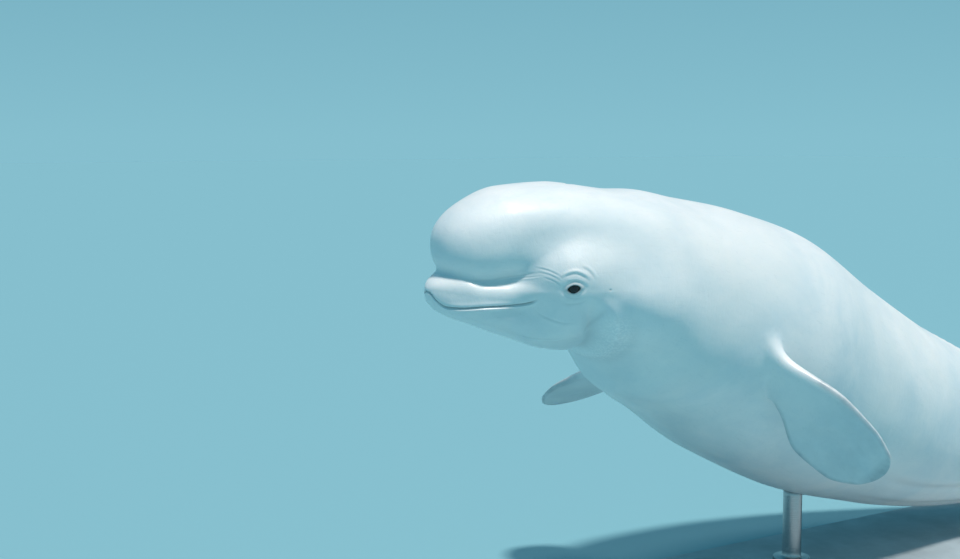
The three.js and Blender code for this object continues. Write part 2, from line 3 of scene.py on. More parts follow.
import bmesh
import bpy
import numpy as np
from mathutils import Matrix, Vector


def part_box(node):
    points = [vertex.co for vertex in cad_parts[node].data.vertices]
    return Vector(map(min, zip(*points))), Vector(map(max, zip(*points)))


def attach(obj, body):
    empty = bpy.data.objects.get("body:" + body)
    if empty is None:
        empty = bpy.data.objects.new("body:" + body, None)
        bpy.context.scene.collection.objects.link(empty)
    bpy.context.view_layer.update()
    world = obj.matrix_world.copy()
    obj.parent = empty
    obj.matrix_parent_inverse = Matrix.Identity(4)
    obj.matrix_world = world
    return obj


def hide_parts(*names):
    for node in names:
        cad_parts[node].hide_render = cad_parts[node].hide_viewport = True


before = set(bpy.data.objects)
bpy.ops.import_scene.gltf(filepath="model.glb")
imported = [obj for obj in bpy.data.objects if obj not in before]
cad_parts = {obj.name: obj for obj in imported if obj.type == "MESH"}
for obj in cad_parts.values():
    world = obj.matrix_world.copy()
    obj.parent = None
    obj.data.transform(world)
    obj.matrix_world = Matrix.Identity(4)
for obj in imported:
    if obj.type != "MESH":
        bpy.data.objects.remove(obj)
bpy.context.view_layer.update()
print("solids loaded")

# The whale is described on a straight spine in millimetres, as in the solids: x runs back from the beak,
# y to the whale's right, z up. bendToPose carries a point onto the bent spine and turns it to metres.
millimetre = 0.001

pose = {
    "beak": (-1890, 40, 1060),
    "spineStep": 5,
    "spineEnd": 4200,
    "yaw": [(0, -7), (400, -7), (620, 8), (1100, 16), (1800, 4), (2800, -7), (4200, -7)],
    "pitch": [(0, -0.5), (380, -0.5), (720, 17.5), (1100, 21), (1600, 22.5), (2200, 19), (3000, 1),
              (3700, -6), (4200, -6)],
    "roll": -2,
}

# Forms of the body, each a rounded nose and stations of (distance, top, bottom, half width)
melon = {
    "nose": 28, "shoulder": 196, "nosePower": 2.6, "sectionPower": 2.25,
    "stations": [(0, 222, 33, 116), (120, 258, 17, 145), (220, 289, 25, 164), (360, 297, 0, 188),
                 (500, 268, -60, 195), (750, 200, -100, 150), (1000, 20, -20, 20)],
}
upperLip = {
    "nose": 2, "shoulder": 110, "nosePower": 1.9, "sectionPower": 2.3,
    "stations": [(0, 70, -40, 95), (60, 74, -50, 106), (120, 59, -50, 124), (200, 63, -50, 150),
                 (280, 76, -55, 171), (360, 80, -60, 190), (500, 60, -80, 195), (800, 20, -20, 20)],
}
lowerJaw = {
    "nose": 19, "shoulder": 130, "nosePower": 2.3, "sectionPower": 2.2,
    "stations": [(0, 20, -53, 89), (100, 10, -77, 108), (200, 10, -115, 138), (300, 20, -148, 166),
                 (400, 30, -162, 192), (520, 30, -158, 205), (700, 0, -150, 150), (950, 20, -20, 20)],
}
trunk = {
    "nose": 300, "shoulder": 620, "nosePower": 2, "sectionPower": 2.1,
    "stations": [(300, 270, -140, 195), (500, 261, -179, 222), (600, 287, -231, 248),
                 (720, 307, -294, 286), (980, 356, -333, 352), (1300, 395, -376, 396),
                 (1650, 370, -388, 392), (2000, 340, -356, 356), (2400, 296, -293, 278),
                 (2800, 210, -216, 188), (3200, 147, -152, 112), (3500, 97, -101, 67),
                 (3650, 72, -74, 54), (3770, 45, -45, 49), (3860, 17, -17, 46), (3920, 8, -8, 44)],
}
bulges = [
    {"name": "brow", "place": (362, 150, 70), "reach": (85, 62, 50)},
    {"name": "jaw angle", "place": (352, 120, -66), "reach": (95, 85, 74)},
]
blends = {"lip": (18, 118, 160, 420), "jaw": (16, 76, 200, 400), "trunk": 90, "bulge": 70}
# The cheeks fall in below the eyes. Each pair or row tells where it starts, is full, fades and ends
cheek = {"depth": 23, "top": 22, "bottom": -96, "out": (60, 160), "along": (150, 260, 370, 580)}
throat = {"x": 368, "depth": 11, "width": 26, "lean": -0.45, "rollBack": 52, "rollHeight": 8,
          "fade": (-10, 70)}
backRidge = {"start": 1950, "end": 2800, "fade": 250, "height": 16, "width": 26}
axisLine = [(0, 55), (170, 55), (500, 40), (750, 30), (4200, 0)]
noseCentre = 170
# the forms of the head have run out before this distance
headReach = 2500


def curveThrough(points):
    # a smooth line through (distance, value) points that never overshoots them
    xs = np.array([p[0] for p in points], float)
    ys = np.array([p[1] for p in points], float)
    steps = np.diff(xs)
    slopes = np.diff(ys) / steps
    tangents = np.zeros(len(xs))
    for i in range(1, len(xs) - 1):
        if slopes[i - 1] * slopes[i] > 0:
            before = 2 * steps[i] + steps[i - 1]
            after = steps[i] + 2 * steps[i - 1]
            tangents[i] = (before + after) / (before / slopes[i - 1] + after / slopes[i])
    tangents[0] = slopes[0]
    tangents[-1] = slopes[-1]

    def valueAt(x):
        held = np.clip(np.asarray(x, float), xs[0], xs[-1])
        i = np.clip(np.searchsorted(xs, held, side="right") - 1, 0, len(xs) - 2)
        t = (held - xs[i]) / steps[i]
        a = ys[i] * (1 + 2 * t) * (1 - t) ** 2 + tangents[i] * steps[i] * t * (1 - t) ** 2
        b = ys[i + 1] * t * t * (3 - 2 * t) + tangents[i + 1] * steps[i] * t * t * (t - 1)
        return a + b

    return valueAt


def ramp(x, start, end):
    t = np.clip((x - start) / (end - start), 0, 1)
    return t * t * (3 - 2 * t)


def softMin(a, b, blend):
    h = np.maximum(blend - np.abs(a - b), 0) / blend
    return np.minimum(a, b) - h * h * blend / 4


def hump(x, middle, width):
    return np.exp(-(((x - middle) / width) ** 2))


def unit(vectors):
    return vectors / np.maximum(np.linalg.norm(vectors, axis=-1, keepdims=True), 1e-9)


# The bent spine

def makeSpine():
    s = np.arange(0, pose["spineEnd"] + 1, pose["spineStep"], dtype=float)
    yaw = np.radians(curveThrough(pose["yaw"])(s))
    pitch = np.radians(curveThrough(pose["pitch"])(s))
    roll = math.radians(pose["roll"])
    back = np.stack([np.cos(pitch) * np.cos(yaw), np.cos(pitch) * np.sin(yaw), -np.sin(pitch)], 1)
    level = np.stack([-np.sin(yaw), np.cos(yaw), 0 * yaw], 1)
    upright = np.cross(back, level)
    right = level * math.cos(roll) - upright * math.sin(roll)
    up = upright * math.cos(roll) + level * math.sin(roll)
    place = np.zeros_like(back)
    place[1:] = np.cumsum((back[1:] + back[:-1]) / 2 * pose["spineStep"], 0)
    place += np.array(pose["beak"], float)
    return {"s": s, "place": place, "back": back, "right": right, "up": up}


spine = makeSpine()


def bendToPose(points):
    held = np.clip(points[:, 0], 0, spine["s"][-2])

    def along(name):
        return np.stack([np.interp(held, spine["s"], spine[name][:, k]) for k in range(3)], 1)

    bent = along("place") + points[:, 1:2] * along("right") + points[:, 2:3] * along("up")
    bent += (points[:, 0:1] - held[:, None]) * along("back")
    return bent * millimetre


# The flesh as one blended form

for form in (melon, upperLip, lowerJaw, trunk):
    for k, name in ((1, "top"), (2, "bottom"), (3, "half")):
        form[name] = curveThrough([(station[0], station[k]) for station in form["stations"]])
axisHeight = curveThrough(axisLine)


def formDistance(form, x, y, z):
    top, bottom, half = form["top"](x), form["bottom"](x), form["half"](x)
    height = (top - bottom) / 2
    q, p = form["sectionPower"], form["nosePower"]
    across = (np.abs(y) / half) ** q + (np.abs(z - (top + bottom) / 2) / height) ** q
    ahead = np.maximum(form["shoulder"] - x, 0) / (form["shoulder"] - form["nose"])
    radius = (ahead ** p + across ** (p / q)) ** (1 / p)
    return (radius - 1) * np.minimum(half, height)


def bulgeDistance(bulge, x, y, z):
    (bx, by, bz), (a, b, c) = bulge["place"], bulge["reach"]
    radius = np.sqrt(((x - bx) / a) ** 2 + ((np.abs(y) - by) / b) ** 2 + ((z - bz) / c) ** 2)
    return (radius - 1) * min(a, b, c)


def cheekDepth(x, y, z):
    start, full, fade, end = cheek["along"]
    along = ramp(x, start, full) * (1 - ramp(x, fade, end))
    down = ramp(-z, -cheek["top"], -cheek["bottom"])
    return cheek["depth"] * along * down * ramp(np.abs(y), *cheek["out"])


def throatDepth(x, z):
    behind = x - throat["x"] - throat["lean"] * z
    crease = throat["depth"] * hump(behind, 0, throat["width"])
    roll = throat["rollHeight"] * hump(behind, throat["rollBack"], throat["width"])
    return (crease - roll) * ramp(-z, *throat["fade"])


def headDistance(x, y, z, trunkOnly):
    def blendAt(name):
        low, high, start, end = blends[name]
        return low + (high - low) * ramp(x, start, end)

    d = formDistance(melon, x, y, z)
    d = softMin(d, formDistance(upperLip, x, y, z), blendAt("lip"))
    d = softMin(d, formDistance(lowerJaw, x, y, z), blendAt("jaw"))
    d = softMin(d, trunkOnly, blends["trunk"])
    for bulge in bulges:
        d = softMin(d, bulgeDistance(bulge, x, y, z), blends["bulge"])
    d = d + throatDepth(x, z) + cheekDepth(x, y, z)
    return np.where(x < headReach, d, trunkOnly)


def ridgeHeight(x, y, z):
    start, end, fade = backRidge["start"], backRidge["end"], backRidge["fade"]
    along = ramp(x, start - fade, start + fade) * (1 - ramp(x, end - fade, end + fade))
    return backRidge["height"] * along * hump(y, 0, backRidge["width"]) * (z > 0)


def fleshDistance(x, y, z):
    x = np.asarray(x, float)
    d = formDistance(trunk, x, y, z)
    if x.min() < headReach:
        d = headDistance(x, y, z, d)
    if x.max() > backRidge["start"] - backRidge["fade"]:
        d = d - ridgeHeight(x, y, z)
    return d


def fleshAt(points):
    return fleshDistance(points[..., 0], points[..., 1], points[..., 2])


def fleshNormal(points, step=1.0):
    slopes = []
    for k in range(3):
        shift = np.zeros(3)
        shift[k] = step
        slopes.append(fleshAt(points + shift) - fleshAt(points - shift))
    return unit(np.stack(slopes, -1))


def castOut(x, origin, direction, reach=700, halvings=11, polish=3):
    # distance along rays from inside to the skin; x is given apart so that whole rings can share it
    def distanceAt(t):
        at = x + direction[..., 0] * t if np.ndim(x) and x.shape == t.shape else x
        return fleshDistance(at, origin[..., 1] + direction[..., 1] * t,
                             origin[..., 2] + direction[..., 2] * t)

    shape = np.broadcast_shapes(origin.shape[:-1], direction.shape[:-1])
    near = np.zeros(shape)
    far = np.full(shape, float(reach))
    for _ in range(halvings):
        middle = (near + far) / 2
        inside = distanceAt(middle) < 0
        near = np.where(inside, middle, near)
        far = np.where(inside, far, middle)
    low, high = distanceAt(near), distanceAt(far)
    for _ in range(polish):
        share = np.clip(low / np.minimum(low - high, -1e-9), 0.02, 0.98)
        middle = near + (far - near) * share
        value = distanceAt(middle)
        inside = value < 0
        near, low = np.where(inside, middle, near), np.where(inside, value, low)
        far, high = np.where(inside, far, middle), np.where(inside, high, value)
    return near + (far - near) * np.clip(low / np.minimum(low - high, -1e-9), 0, 1)


def sidePoints(x, z, side):
    x, z = np.atleast_1d(np.asarray(x, float)), np.atleast_1d(np.asarray(z, float))
    origin = np.stack([x, 0 * x, z], -1)
    direction = np.tile([0.0, side, 0.0], (len(x), 1))
    reach = castOut(x, origin, direction, halvings=16)
    return origin + direction * reach[:, None]


def sidePoint(x, z, side):
    return sidePoints(x, z, side)[0]


def snapToFlesh(points, passes=4):
    for _ in range(passes):
        normal = fleshNormal(points)
        slope = (fleshAt(points + normal) - fleshAt(points - normal)) / 2
        points = points - normal * (fleshAt(points) / np.maximum(slope, 0.2))[..., None]
    return points


# Closed grids of points to meshes

def meshFromRings(name, rings, startPoint, endPoint):
    # rings is a list of arrays of points; a ring may have half the points of the one before it
    points = [np.array([startPoint])] + list(rings) + [np.array([endPoint])]
    starts = np.cumsum([0] + [len(p) for p in points])
    faces = []
    count = len(rings[0])
    j = np.arange(count)
    faces += np.stack([0 * j, 1 + (j + 1) % count, 1 + j], 1).tolist()
    for i in range(1, len(points) - 2):
        a, b = len(points[i]), len(points[i + 1])
        if a == b:
            j = np.arange(a)
            k = (j + 1) % a
            quads = np.stack([starts[i] + j, starts[i] + k, starts[i + 1] + k, starts[i + 1] + j], 1)
            faces += quads.tolist()
        else:
            j = np.arange(b)
            k = (j + 1) % b
            one, two, three = starts[i] + 2 * j, starts[i] + 2 * j + 1, starts[i] + (2 * j + 2) % a
            low, high = starts[i + 1] + j, starts[i + 1] + k
            faces += np.stack([one, two, low], 1).tolist()
            faces += np.stack([two, high, low], 1).tolist()
            faces += np.stack([two, three, high], 1).tolist()
    count = len(points[-2])
    j = np.arange(count)
    base = starts[-3]
    faces += np.stack([base + j, base + (j + 1) % count, 0 * j + starts[-2]], 1).tolist()
    mesh = bpy.data.meshes.new(name)
    mesh.from_pydata((np.concatenate(points) * millimetre).tolist(), [], faces)
    mesh.update()
    made = bpy.data.objects.new(name, mesh)
    bpy.context.scene.collection.objects.link(made)
    turnOutwards(made)
    return made


def turnOutwards(made):
    work = bmesh.new()
    work.from_mesh(made.data)
    if work.calc_volume(signed=True) < 0:
        bmesh.ops.reverse_faces(work, faces=work.faces)
    work.to_mesh(made.data)
    work.free()


# Lines pressed into or raised from the skin

def strokeDistance(points, normals, line, facing):
    # signed distance across a line on the skin and how far along it each point lies. With facing 1 on the
    # left and -1 on the right, + is above a line that runs back, and behind a line that runs down
    a, b = line[:-1], line[1:]
    run = b - a
    lengths = np.linalg.norm(run, axis=1)
    before = np.concatenate([[0], np.cumsum(lengths)])
    best = np.full(len(points), 1e9)
    side = np.zeros(len(points))
    along = np.zeros(len(points))
    for i in range(len(a)):
        t = np.clip(((points - a[i]) @ run[i]) / max(lengths[i] ** 2, 1e-9), 0, 1)
        off = points - (a[i] + t[:, None] * run[i])
        d = np.linalg.norm(off, axis=1)
        nearer = d < best
        best = np.where(nearer, d, best)
        across = np.cross(normals, run[i])
        turned = np.sum(off * across, 1) * facing
        side = np.where(nearer, np.sign(turned), side)
        along = np.where(nearer, before[i] + t * lengths[i], along)
    return best * side, along / before[-1]


def nearLine(points, line, reach):
    low, high = line.min(0) - reach, line.max(0) + reach
    return np.nonzero(np.all((points > low) & (points < high), axis=1))[0]


def smoothLine(corners, spacing=4):
    corners = np.array(corners, float)
    runs = np.concatenate([[0], np.cumsum(np.linalg.norm(np.diff(corners, axis=0), axis=1))])
    count = max(int(runs[-1] / spacing), 4)
    at = np.linspace(0, runs[-1], count)
    return np.stack([curveThrough(list(zip(runs, corners[:, k])))(at) for k in range(corners.shape[1])], 1)


def sideLine(corners, side, spacing=4):
    line = smoothLine(corners, spacing)
    return sidePoints(line[:, 0], line[:, 1], side)


mouth = {
    "line": [(-60, 16), (0, 12), (14, -11), (34, -25), (60, -26), (110, -22), (170, -20), (210, -17),
             (235, -11), (250, -1)],
    "corner": 250, "reach": 30,
    "depth": 5.5, "width": 2.1, "ends": 0.05, "dark": 0.6, "darkBand": (0.8, 2.2),
    # height, distance above the line and width of the ledges, which are low in front of the beak
    "lips": [(4.4, -5.6, 3.6), (1.6, 8.0, 6.0)], "frontShare": 0.15, "lipsGrow": (6, 46),
}


def mouthLine():
    # the line between the lips, from the left corner round the beak to the right corner
    height = curveThrough(mouth["line"])
    sideSteps, frontSteps = 20, 60
    back = np.linspace(mouth["corner"], noseCentre, sideSteps, endpoint=False)
    turn = np.linspace(-math.pi / 2, math.pi / 2, frontSteps + 1)
    x = np.concatenate([back, 0 * turn + noseCentre, back[::-1]])
    ahead = np.concatenate([0 * back, -np.cos(turn), 0 * back])
    aside = np.concatenate([0 * back - 1, np.sin(turn), 0 * back + 1])
    direction = np.stack([ahead, aside, 0 * x], -1)
    z = height(x)
    for _ in range(5):
        origin = np.stack([x, 0 * x, z], -1)
        reach = castOut(x, origin, direction, halvings=16)
        spot = origin + direction * reach[:, None]
        z = height(spot[:, 0])
    spot[:, 2] = z
    return spot


def endFade(along, share):
    # 1 along a line, falling to 0 over a share of it at each end
    return ramp(along, 0, share) * (1 - ramp(along, 1 - share, 1))


# Each press function adds to two arrays: move, which is millimetres along the normal, and dark, which is
# the share of the crease colour: painted shade in the grooves, folds and pits, and in pressBody a darker
# tone along the top of the back ridge. Both hold one number for each point
def pressMouth(points, normals, move, dark):
    line = mouthLine()
    near = nearLine(points, line, mouth["reach"])
    across, along = strokeDistance(points[near], normals[near], line, -1)
    grown = ramp(points[near, 0], *mouth["lipsGrow"])
    share = mouth["frontShare"] + (1 - mouth["frontShare"]) * grown
    change = -mouth["depth"] * hump(across, 0, mouth["width"])
    for lift, offset, width in mouth["lips"]:
        change += share * lift * hump(across, offset, width)
    fade = endFade(along, mouth["ends"])
    move[near] += change * fade
    # painted shade in the groove between the lips
    dark[near] += mouth["dark"] * hump(across, *mouth["darkBand"]) * fade


# Folds of the head and neck in side view: corners, depth and width of each, and the lift beside it
folds = [
    {"name": "behind the mouth", "corners": [(240, -24), (258, -42), (288, -58), (322, -68), (360, -67)],
     "depth": 0.9, "width": 3.4, "lift": 0.8, "offset": -6},
    {"name": "edge of the jaw", "corners": [(196, -96), (226, -107), (266, -117), (308, -119), (344, -106)],
     "depth": 1.5, "width": 3.4, "lift": 1.8, "offset": -6},
    {"name": "melon crease", "corners": [(60, 58), (86, 49), (129, 48), (175, 53), (229, 65), (270, 77)],
     "depth": 1.4, "width": 4.0, "lift": 0.3, "offset": -9},
    {"name": "fine line under the crease", "corners": [(150, 46), (190, 50), (228, 57), (262, 66)],
     "depth": 0.7, "width": 2.2, "lift": 0.5, "offset": -4},
    {"name": "first before the eye", "corners": [(236, 84), (258, 80), (280, 70), (298, 56)],
     "depth": 0.9, "width": 2.3, "lift": 0.5, "offset": 4},
    {"name": "second before the eye", "corners": [(240, 72), (262, 68), (282, 58), (297, 45)],
     "depth": 0.7, "width": 2.2, "lift": 0.4, "offset": 4},
    {"name": "third before the eye", "corners": [(250, 60), (268, 54), (284, 45), (296, 34)],
     "depth": 0.6, "width": 2.1, "lift": 0.3, "offset": 4},
    {"name": "over the eye", "corners": [(290, 52), (306, 64), (326, 70), (348, 62), (368, 45)],
     "depth": 1.5, "width": 3.6, "lift": 2.0, "offset": 8},
    {"name": "upper lid", "corners": [(302, 46), (316, 51), (330, 51), (344, 46), (356, 36)],
     "depth": 1.0, "width": 2.2, "lift": 0.5, "offset": 5},
    {"name": "behind the brow", "corners": [(340, 88), (358, 80), (372, 66), (380, 50)],
     "depth": 1.1, "width": 3.6, "lift": 0.8, "offset": 7},
    {"name": "under the eye", "corners": [(304, 11), (318, 4), (336, 2), (352, 8)],
     "depth": 0.7, "width": 2.6, "lift": 0.3, "offset": -5},
    {"name": "pouch of the eye", "corners": [(298, -4), (318, -14), (346, -12), (372, 2)],
     "depth": 0.7, "width": 4.0, "lift": 0.3, "offset": -7},
    {"name": "neck hollow", "corners": [(378, -116), (394, -98), (408, -76), (418, -46), (424, -14)],
     "depth": 2.0, "width": 13, "lift": 0.0, "offset": -24},
]
foldLook = {"ends": 0.35, "liftWidth": 1.3, "dark": 0.12, "darkWidth": 0.6, "cornerSpacing": 8}


def pressFolds(points, normals, side, move, dark):
    for fold in folds:
        line = sideLine(fold["corners"], side, foldLook["cornerSpacing"])
        width, offset = fold["width"], fold["offset"]
        near = nearLine(points, line, 4 * width + abs(offset))
        across, along = strokeDistance(points[near], normals[near], line, -side)
        fade = endFade(along, foldLook["ends"])
        change = -fold["depth"] * hump(across, 0, width)
        change += fold["lift"] * hump(across, offset, width * foldLook["liftWidth"])
        move[near] += change * fade
        # painted shade along the groove of each fold
        dark[near] += foldLook["dark"] * hump(across, 0, width * foldLook["darkWidth"]) * fade


blowhole = {
    "x": 402, "halfWidth": 34, "bow": 20, "depth": 9, "width": 3.4, "darkWidth": 3.2, "ends": 0.16,
    "rim": 2.4, "rimOffset": 9, "rimWidth": 6, "dish": 2.8, "dishWidth": 30, "inside": 100, "reach": 40,
}


def pressBlowhole(points, normals, move, dark):
    # a slit across the top of the head, bowed forward at its ends
    steps = np.linspace(-1, 1, 24)
    start = np.stack([blowhole["x"] - blowhole["bow"] * steps ** 2, blowhole["halfWidth"] * steps,
                      0 * steps + blowhole["inside"]], 1)
    up = np.tile([0.0, 0.0, 1.0], (len(steps), 1))
    line = start + up * castOut(start[:, 0], start, up, halvings=20, polish=2)[:, None]
    near = nearLine(points, line, blowhole["reach"])
    near = near[points[near, 2] > blowhole["inside"]]
    across, along = strokeDistance(points[near], normals[near], line, 1)
    span = np.abs(across)
    change = -blowhole["depth"] * hump(span, 0, blowhole["width"])
    change += blowhole["rim"] * hump(span, blowhole["rimOffset"], blowhole["rimWidth"])
    change -= blowhole["dish"] * hump(span, 0, blowhole["dishWidth"])
    fade = endFade(along, blowhole["ends"])
    move[near] += change * fade
    # painted shade in the slit
    dark[near] += hump(span, 0, blowhole["darkWidth"]) * fade


# In rim, socket, dark and lid, distances are shares of the opening's size, with 1 at its edge
eye = {
    "x": 326, "z": 29, "radius": 21, "proud": 3, "opening": (16, 10.5), "almond": 1.7, "slant": 0.10,
    "sink": 16, "edge": (0.86, 1.04), "rim": (2.2, 1.24, 0.26), "socket": (1.6, 1.9, 0.4),
    "dark": (0.85, 1.0, 0.16), "lid": (0.35, 1.25, 0.5),
    "clearRise": 0.035, "clearWidth": 26, "rings": 40, "turns": 64, "reach": 70,
}
ear = {"x": 424, "z": 24, "radius": 2.2, "depth": 2.6, "dark": 0.4}


def eyeFrame(side):
    spot = sidePoint(eye["x"], eye["z"], side)
    step = 6
    forward = unit(sidePoint(eye["x"] - step, eye["z"], side) - spot)
    upward = unit(sidePoint(eye["x"], eye["z"] + step, side) - spot)
    outward = unit(np.cross(forward, upward))
    if outward[1] * side < 0:
        outward = -outward
    upward = np.cross(outward, forward) * side
    return {"spot": spot, "forward": forward, "upward": upward, "outward": outward}


eyeFrames = {side: eyeFrame(side) for side in (-1, 1)}


def pressEye(points, side, move, dark):
    seat = eyeFrames[side]
    away = points - seat["spot"]
    near = np.nonzero(np.linalg.norm(away, axis=1) < eye["reach"])[0]
    forward, upward = away[near] @ seat["forward"], away[near] @ seat["upward"]
    # an almond, a little pointed to the front and lower there
    upward = upward + eye["slant"] * forward
    (length, height), power = eye["opening"], eye["almond"]
    around = (np.abs(forward / length) ** power + np.abs(upward / height) ** power) ** (1 / power)
    inside = 1 - ramp(around, *eye["edge"])

    def band(name):
        amount, middle, width = eye[name]
        return amount * hump(around, middle, width)

    move[near] += -eye["sink"] * inside + band("rim") * (1 - inside) - band("socket")
    # dark and lid are painted shade at the edge of the opening and round it
    dark[near] += band("dark") + band("lid")


def pressEar(points, side, move, dark):
    pit = hump(np.linalg.norm(points - sidePoint(ear["x"], ear["z"], side), axis=1), 0, ear["radius"])
    move -= ear["depth"] * pit
    # painted shade in the pit
    dark += ear["dark"] * pit


bellyMarks = [
    {"name": "navel", "x": (1830, 1885), "depth": 6, "width": 5},
    {"name": "slit", "x": (2500, 2690), "depth": 7, "width": 4.5},
    {"name": "vent", "x": (2752, 2790), "depth": 5, "width": 4},
]
bellyMarkLook = {"fade": 12, "rim": 0.5, "rimOffset": 11, "rimWidth": 6, "dark": 0.5, "darkWidth": 0.8}


def pressBelly(points, move, dark):
    x, span = points[:, 0], np.abs(points[:, 1])
    belly = (points[:, 2] < 0) & (span < 60)
    look = bellyMarkLook
    for mark in bellyMarks:
        start, end = mark["x"]
        fade = ramp(x, start, start + look["fade"]) * (1 - ramp(x, end - look["fade"], end)) * belly
        rim = look["rim"] * hump(span, look["rimOffset"], look["rimWidth"])
        move += fade * mark["depth"] * (rim - hump(span, 0, mark["width"]))
        # painted shade in the navel, slit and vent
        dark += look["dark"] * fade * hump(span, 0, mark["width"] * look["darkWidth"])


# The wrinkled roll of skin behind the throat: a set of fine wrinkles and a coarser one across it, both
# bent and broken up by slower waves. A spacing is the length for one radian of its wave
neckRoll = {
    "across": (8, 30), "top": 20, "full": 100, "end": 640, "depth": 0.6,
    "fine": 2.7, "coarse": 4.3, "coarseShare": 0.7, "broken": 0.45,
}
# Painted shade in the hollows before and behind the roll: share, place and width of each
neckHollows = {"bands": [(1.0, 4, 16), (0.5, 96, 14)], "down": (20, 110), "end": (520, 640), "dark": 0.16}


def pressNeck(points, move, dark):
    x, y, z = points.T
    behind = x - throat["x"] - throat["lean"] * z
    onRoll = behind - throat["rollBack"]
    band = hump(onRoll, *neckRoll["across"]) * ramp(-z, neckRoll["top"], neckRoll["full"])
    band = band * (x < neckRoll["end"])
    lines = np.sin(onRoll / neckRoll["fine"] + 1.6 * np.sin(z / 15) + 0.9 * np.sin(y / 11))
    crossing = np.sin(onRoll / neckRoll["coarse"] - z / 12 + 1.3 * np.sin(y / 17 + z / 29))
    lines += neckRoll["coarseShare"] * crossing
    gaps = 1 - neckRoll["broken"] * (1 - np.sin(z / 8 + 2 * np.sin(onRoll / 13)))
    move += neckRoll["depth"] * band * lines * gaps
    # painted shade in the hollows before and behind the roll
    hollow = sum(share * hump(behind, place, width) for share, place, width in neckHollows["bands"])
    hollow = hollow * ramp(-z, *neckHollows["down"]) * (1 - ramp(x, *neckHollows["end"]))
    dark += neckHollows["dark"] * hollow
    return band


# Low waves across the neck, soft folds of blubber low on the flanks and beads along the ridge. Each pair
# in from or to is where it starts or ends and the place where it is full; angles count from the side
neckWaves = {"from": (470, 560), "to": (820, 960), "depth": 0.7, "length": 19, "down": (-120, 80)}
flankFolds = {
    "from": (1750, 2100), "to": (2350, 2650), "sway": 0.05, "swayLength": 190,
    "folds": [(-0.62, 4), (-0.98, 3.4), (-1.28, 2.4)], "swell": (0.07, 0.09), "furrow": (-0.05, 0.06),
}
beads = {"from": (2050, 2250), "to": (2650, 2800), "depth": 0.7, "width": 16, "length": 9.5, "sway": 1.7,
         "swayLength": 47}
ridgeTone = {"from": (1900, 2100), "to": (2700, 2900), "width": 14, "dark": 0.14}
unevenness = {"depth": 0.5, "from": (300, 700)}


def within(x, place):
    return ramp(x, *place["from"]) * (1 - ramp(x, *place["to"]))


def pressBody(points, move, dark):
    x, y, z = points.T
    wave = np.sin(x / neckWaves["length"] + 0.9 * np.sin(z / 60) + 0.5 * np.sin(y / 45))
    move += neckWaves["depth"] * within(x, neckWaves) * wave * ramp(-z, *neckWaves["down"])

    angle = np.arctan2(z, np.abs(y))
    for middle, depth in flankFolds["folds"]:
        middle = middle + flankFolds["sway"] * np.sin(x / flankFolds["swayLength"])
        (above, swellWidth), (below, furrowWidth) = flankFolds["swell"], flankFolds["furrow"]
        profile = hump(angle, middle + above, swellWidth) - hump(angle, middle + below, furrowWidth)
        move += within(x, flankFolds) * depth * profile

    bead = np.sin(x / beads["length"] + beads["sway"] * np.sin(x / beads["swayLength"]))
    move += beads["depth"] * within(x, beads) * (z > 0) * hump(y, 0, beads["width"]) * bead
    dark += ridgeTone["dark"] * within(x, ridgeTone) * (z > 0) * hump(y, 0, ridgeTone["width"])

    # a faint unevenness of the flesh all over
    uneven = np.sin(x / 83 + 2 * np.sin(z / 120)) * np.sin(z / 71 + y / 190)
    move += unevenness["depth"] * (uneven - 1) * ramp(x, *unevenness["from"])


headEnd = 700  # all that is pressed into the head lies before this distance


def pressDetails(points, normals):
    # returns how far each point moves along its normal, and what the finish needs to know about it
    move = np.zeros(len(points))
    dark = np.zeros(len(points))
    head = points[:, 0] < headEnd
    headPoints, headNormals = points[head], normals[head]
    headMove, headDark = move[head], dark[head]
    pressMouth(headPoints, headNormals, headMove, headDark)
    for side in (-1, 1):
        pressFolds(headPoints, headNormals, side, headMove, headDark)
        pressEye(headPoints, side, headMove, headDark)
        pressEar(headPoints, side, headMove, headDark)
    pressBlowhole(headPoints, headNormals, headMove, headDark)
    move[head], dark[head] = headMove, headDark
    pressBelly(points, move, dark)
    wrinkled = pressNeck(points, move, dark)
    pressBody(points, move, dark)
    return move, np.clip(dark, 0, 1), np.clip(wrinkled, 0, 1)


body = {
    "columns": 640, "sideCrowding": 1.0, "sides": (108, 252), "sideWidth": 26,
    "noseRows": 150, "rows": [(170, 300, 65), (300, 368, 52), (368, 430, 31), (430, 520, 36)],
    "bodyStep": 7, "end": 3700, "inset": 0.3,
}


def columnAngles(count):
    # columns from the top round, closer together on both sides, where the eyes and the mouth are
    fine = np.linspace(0, 2 * math.pi, 4001)
    angle = np.degrees(fine)
    density = 1 + body["sideCrowding"] * sum(hump(angle, side, body["sideWidth"]) for side in body["sides"])
    total = np.concatenate([[0], np.cumsum((density[1:] + density[:-1]) / 2)])
    return np.interp(np.arange(count) / count * total[-1], total, fine) + math.pi / 2


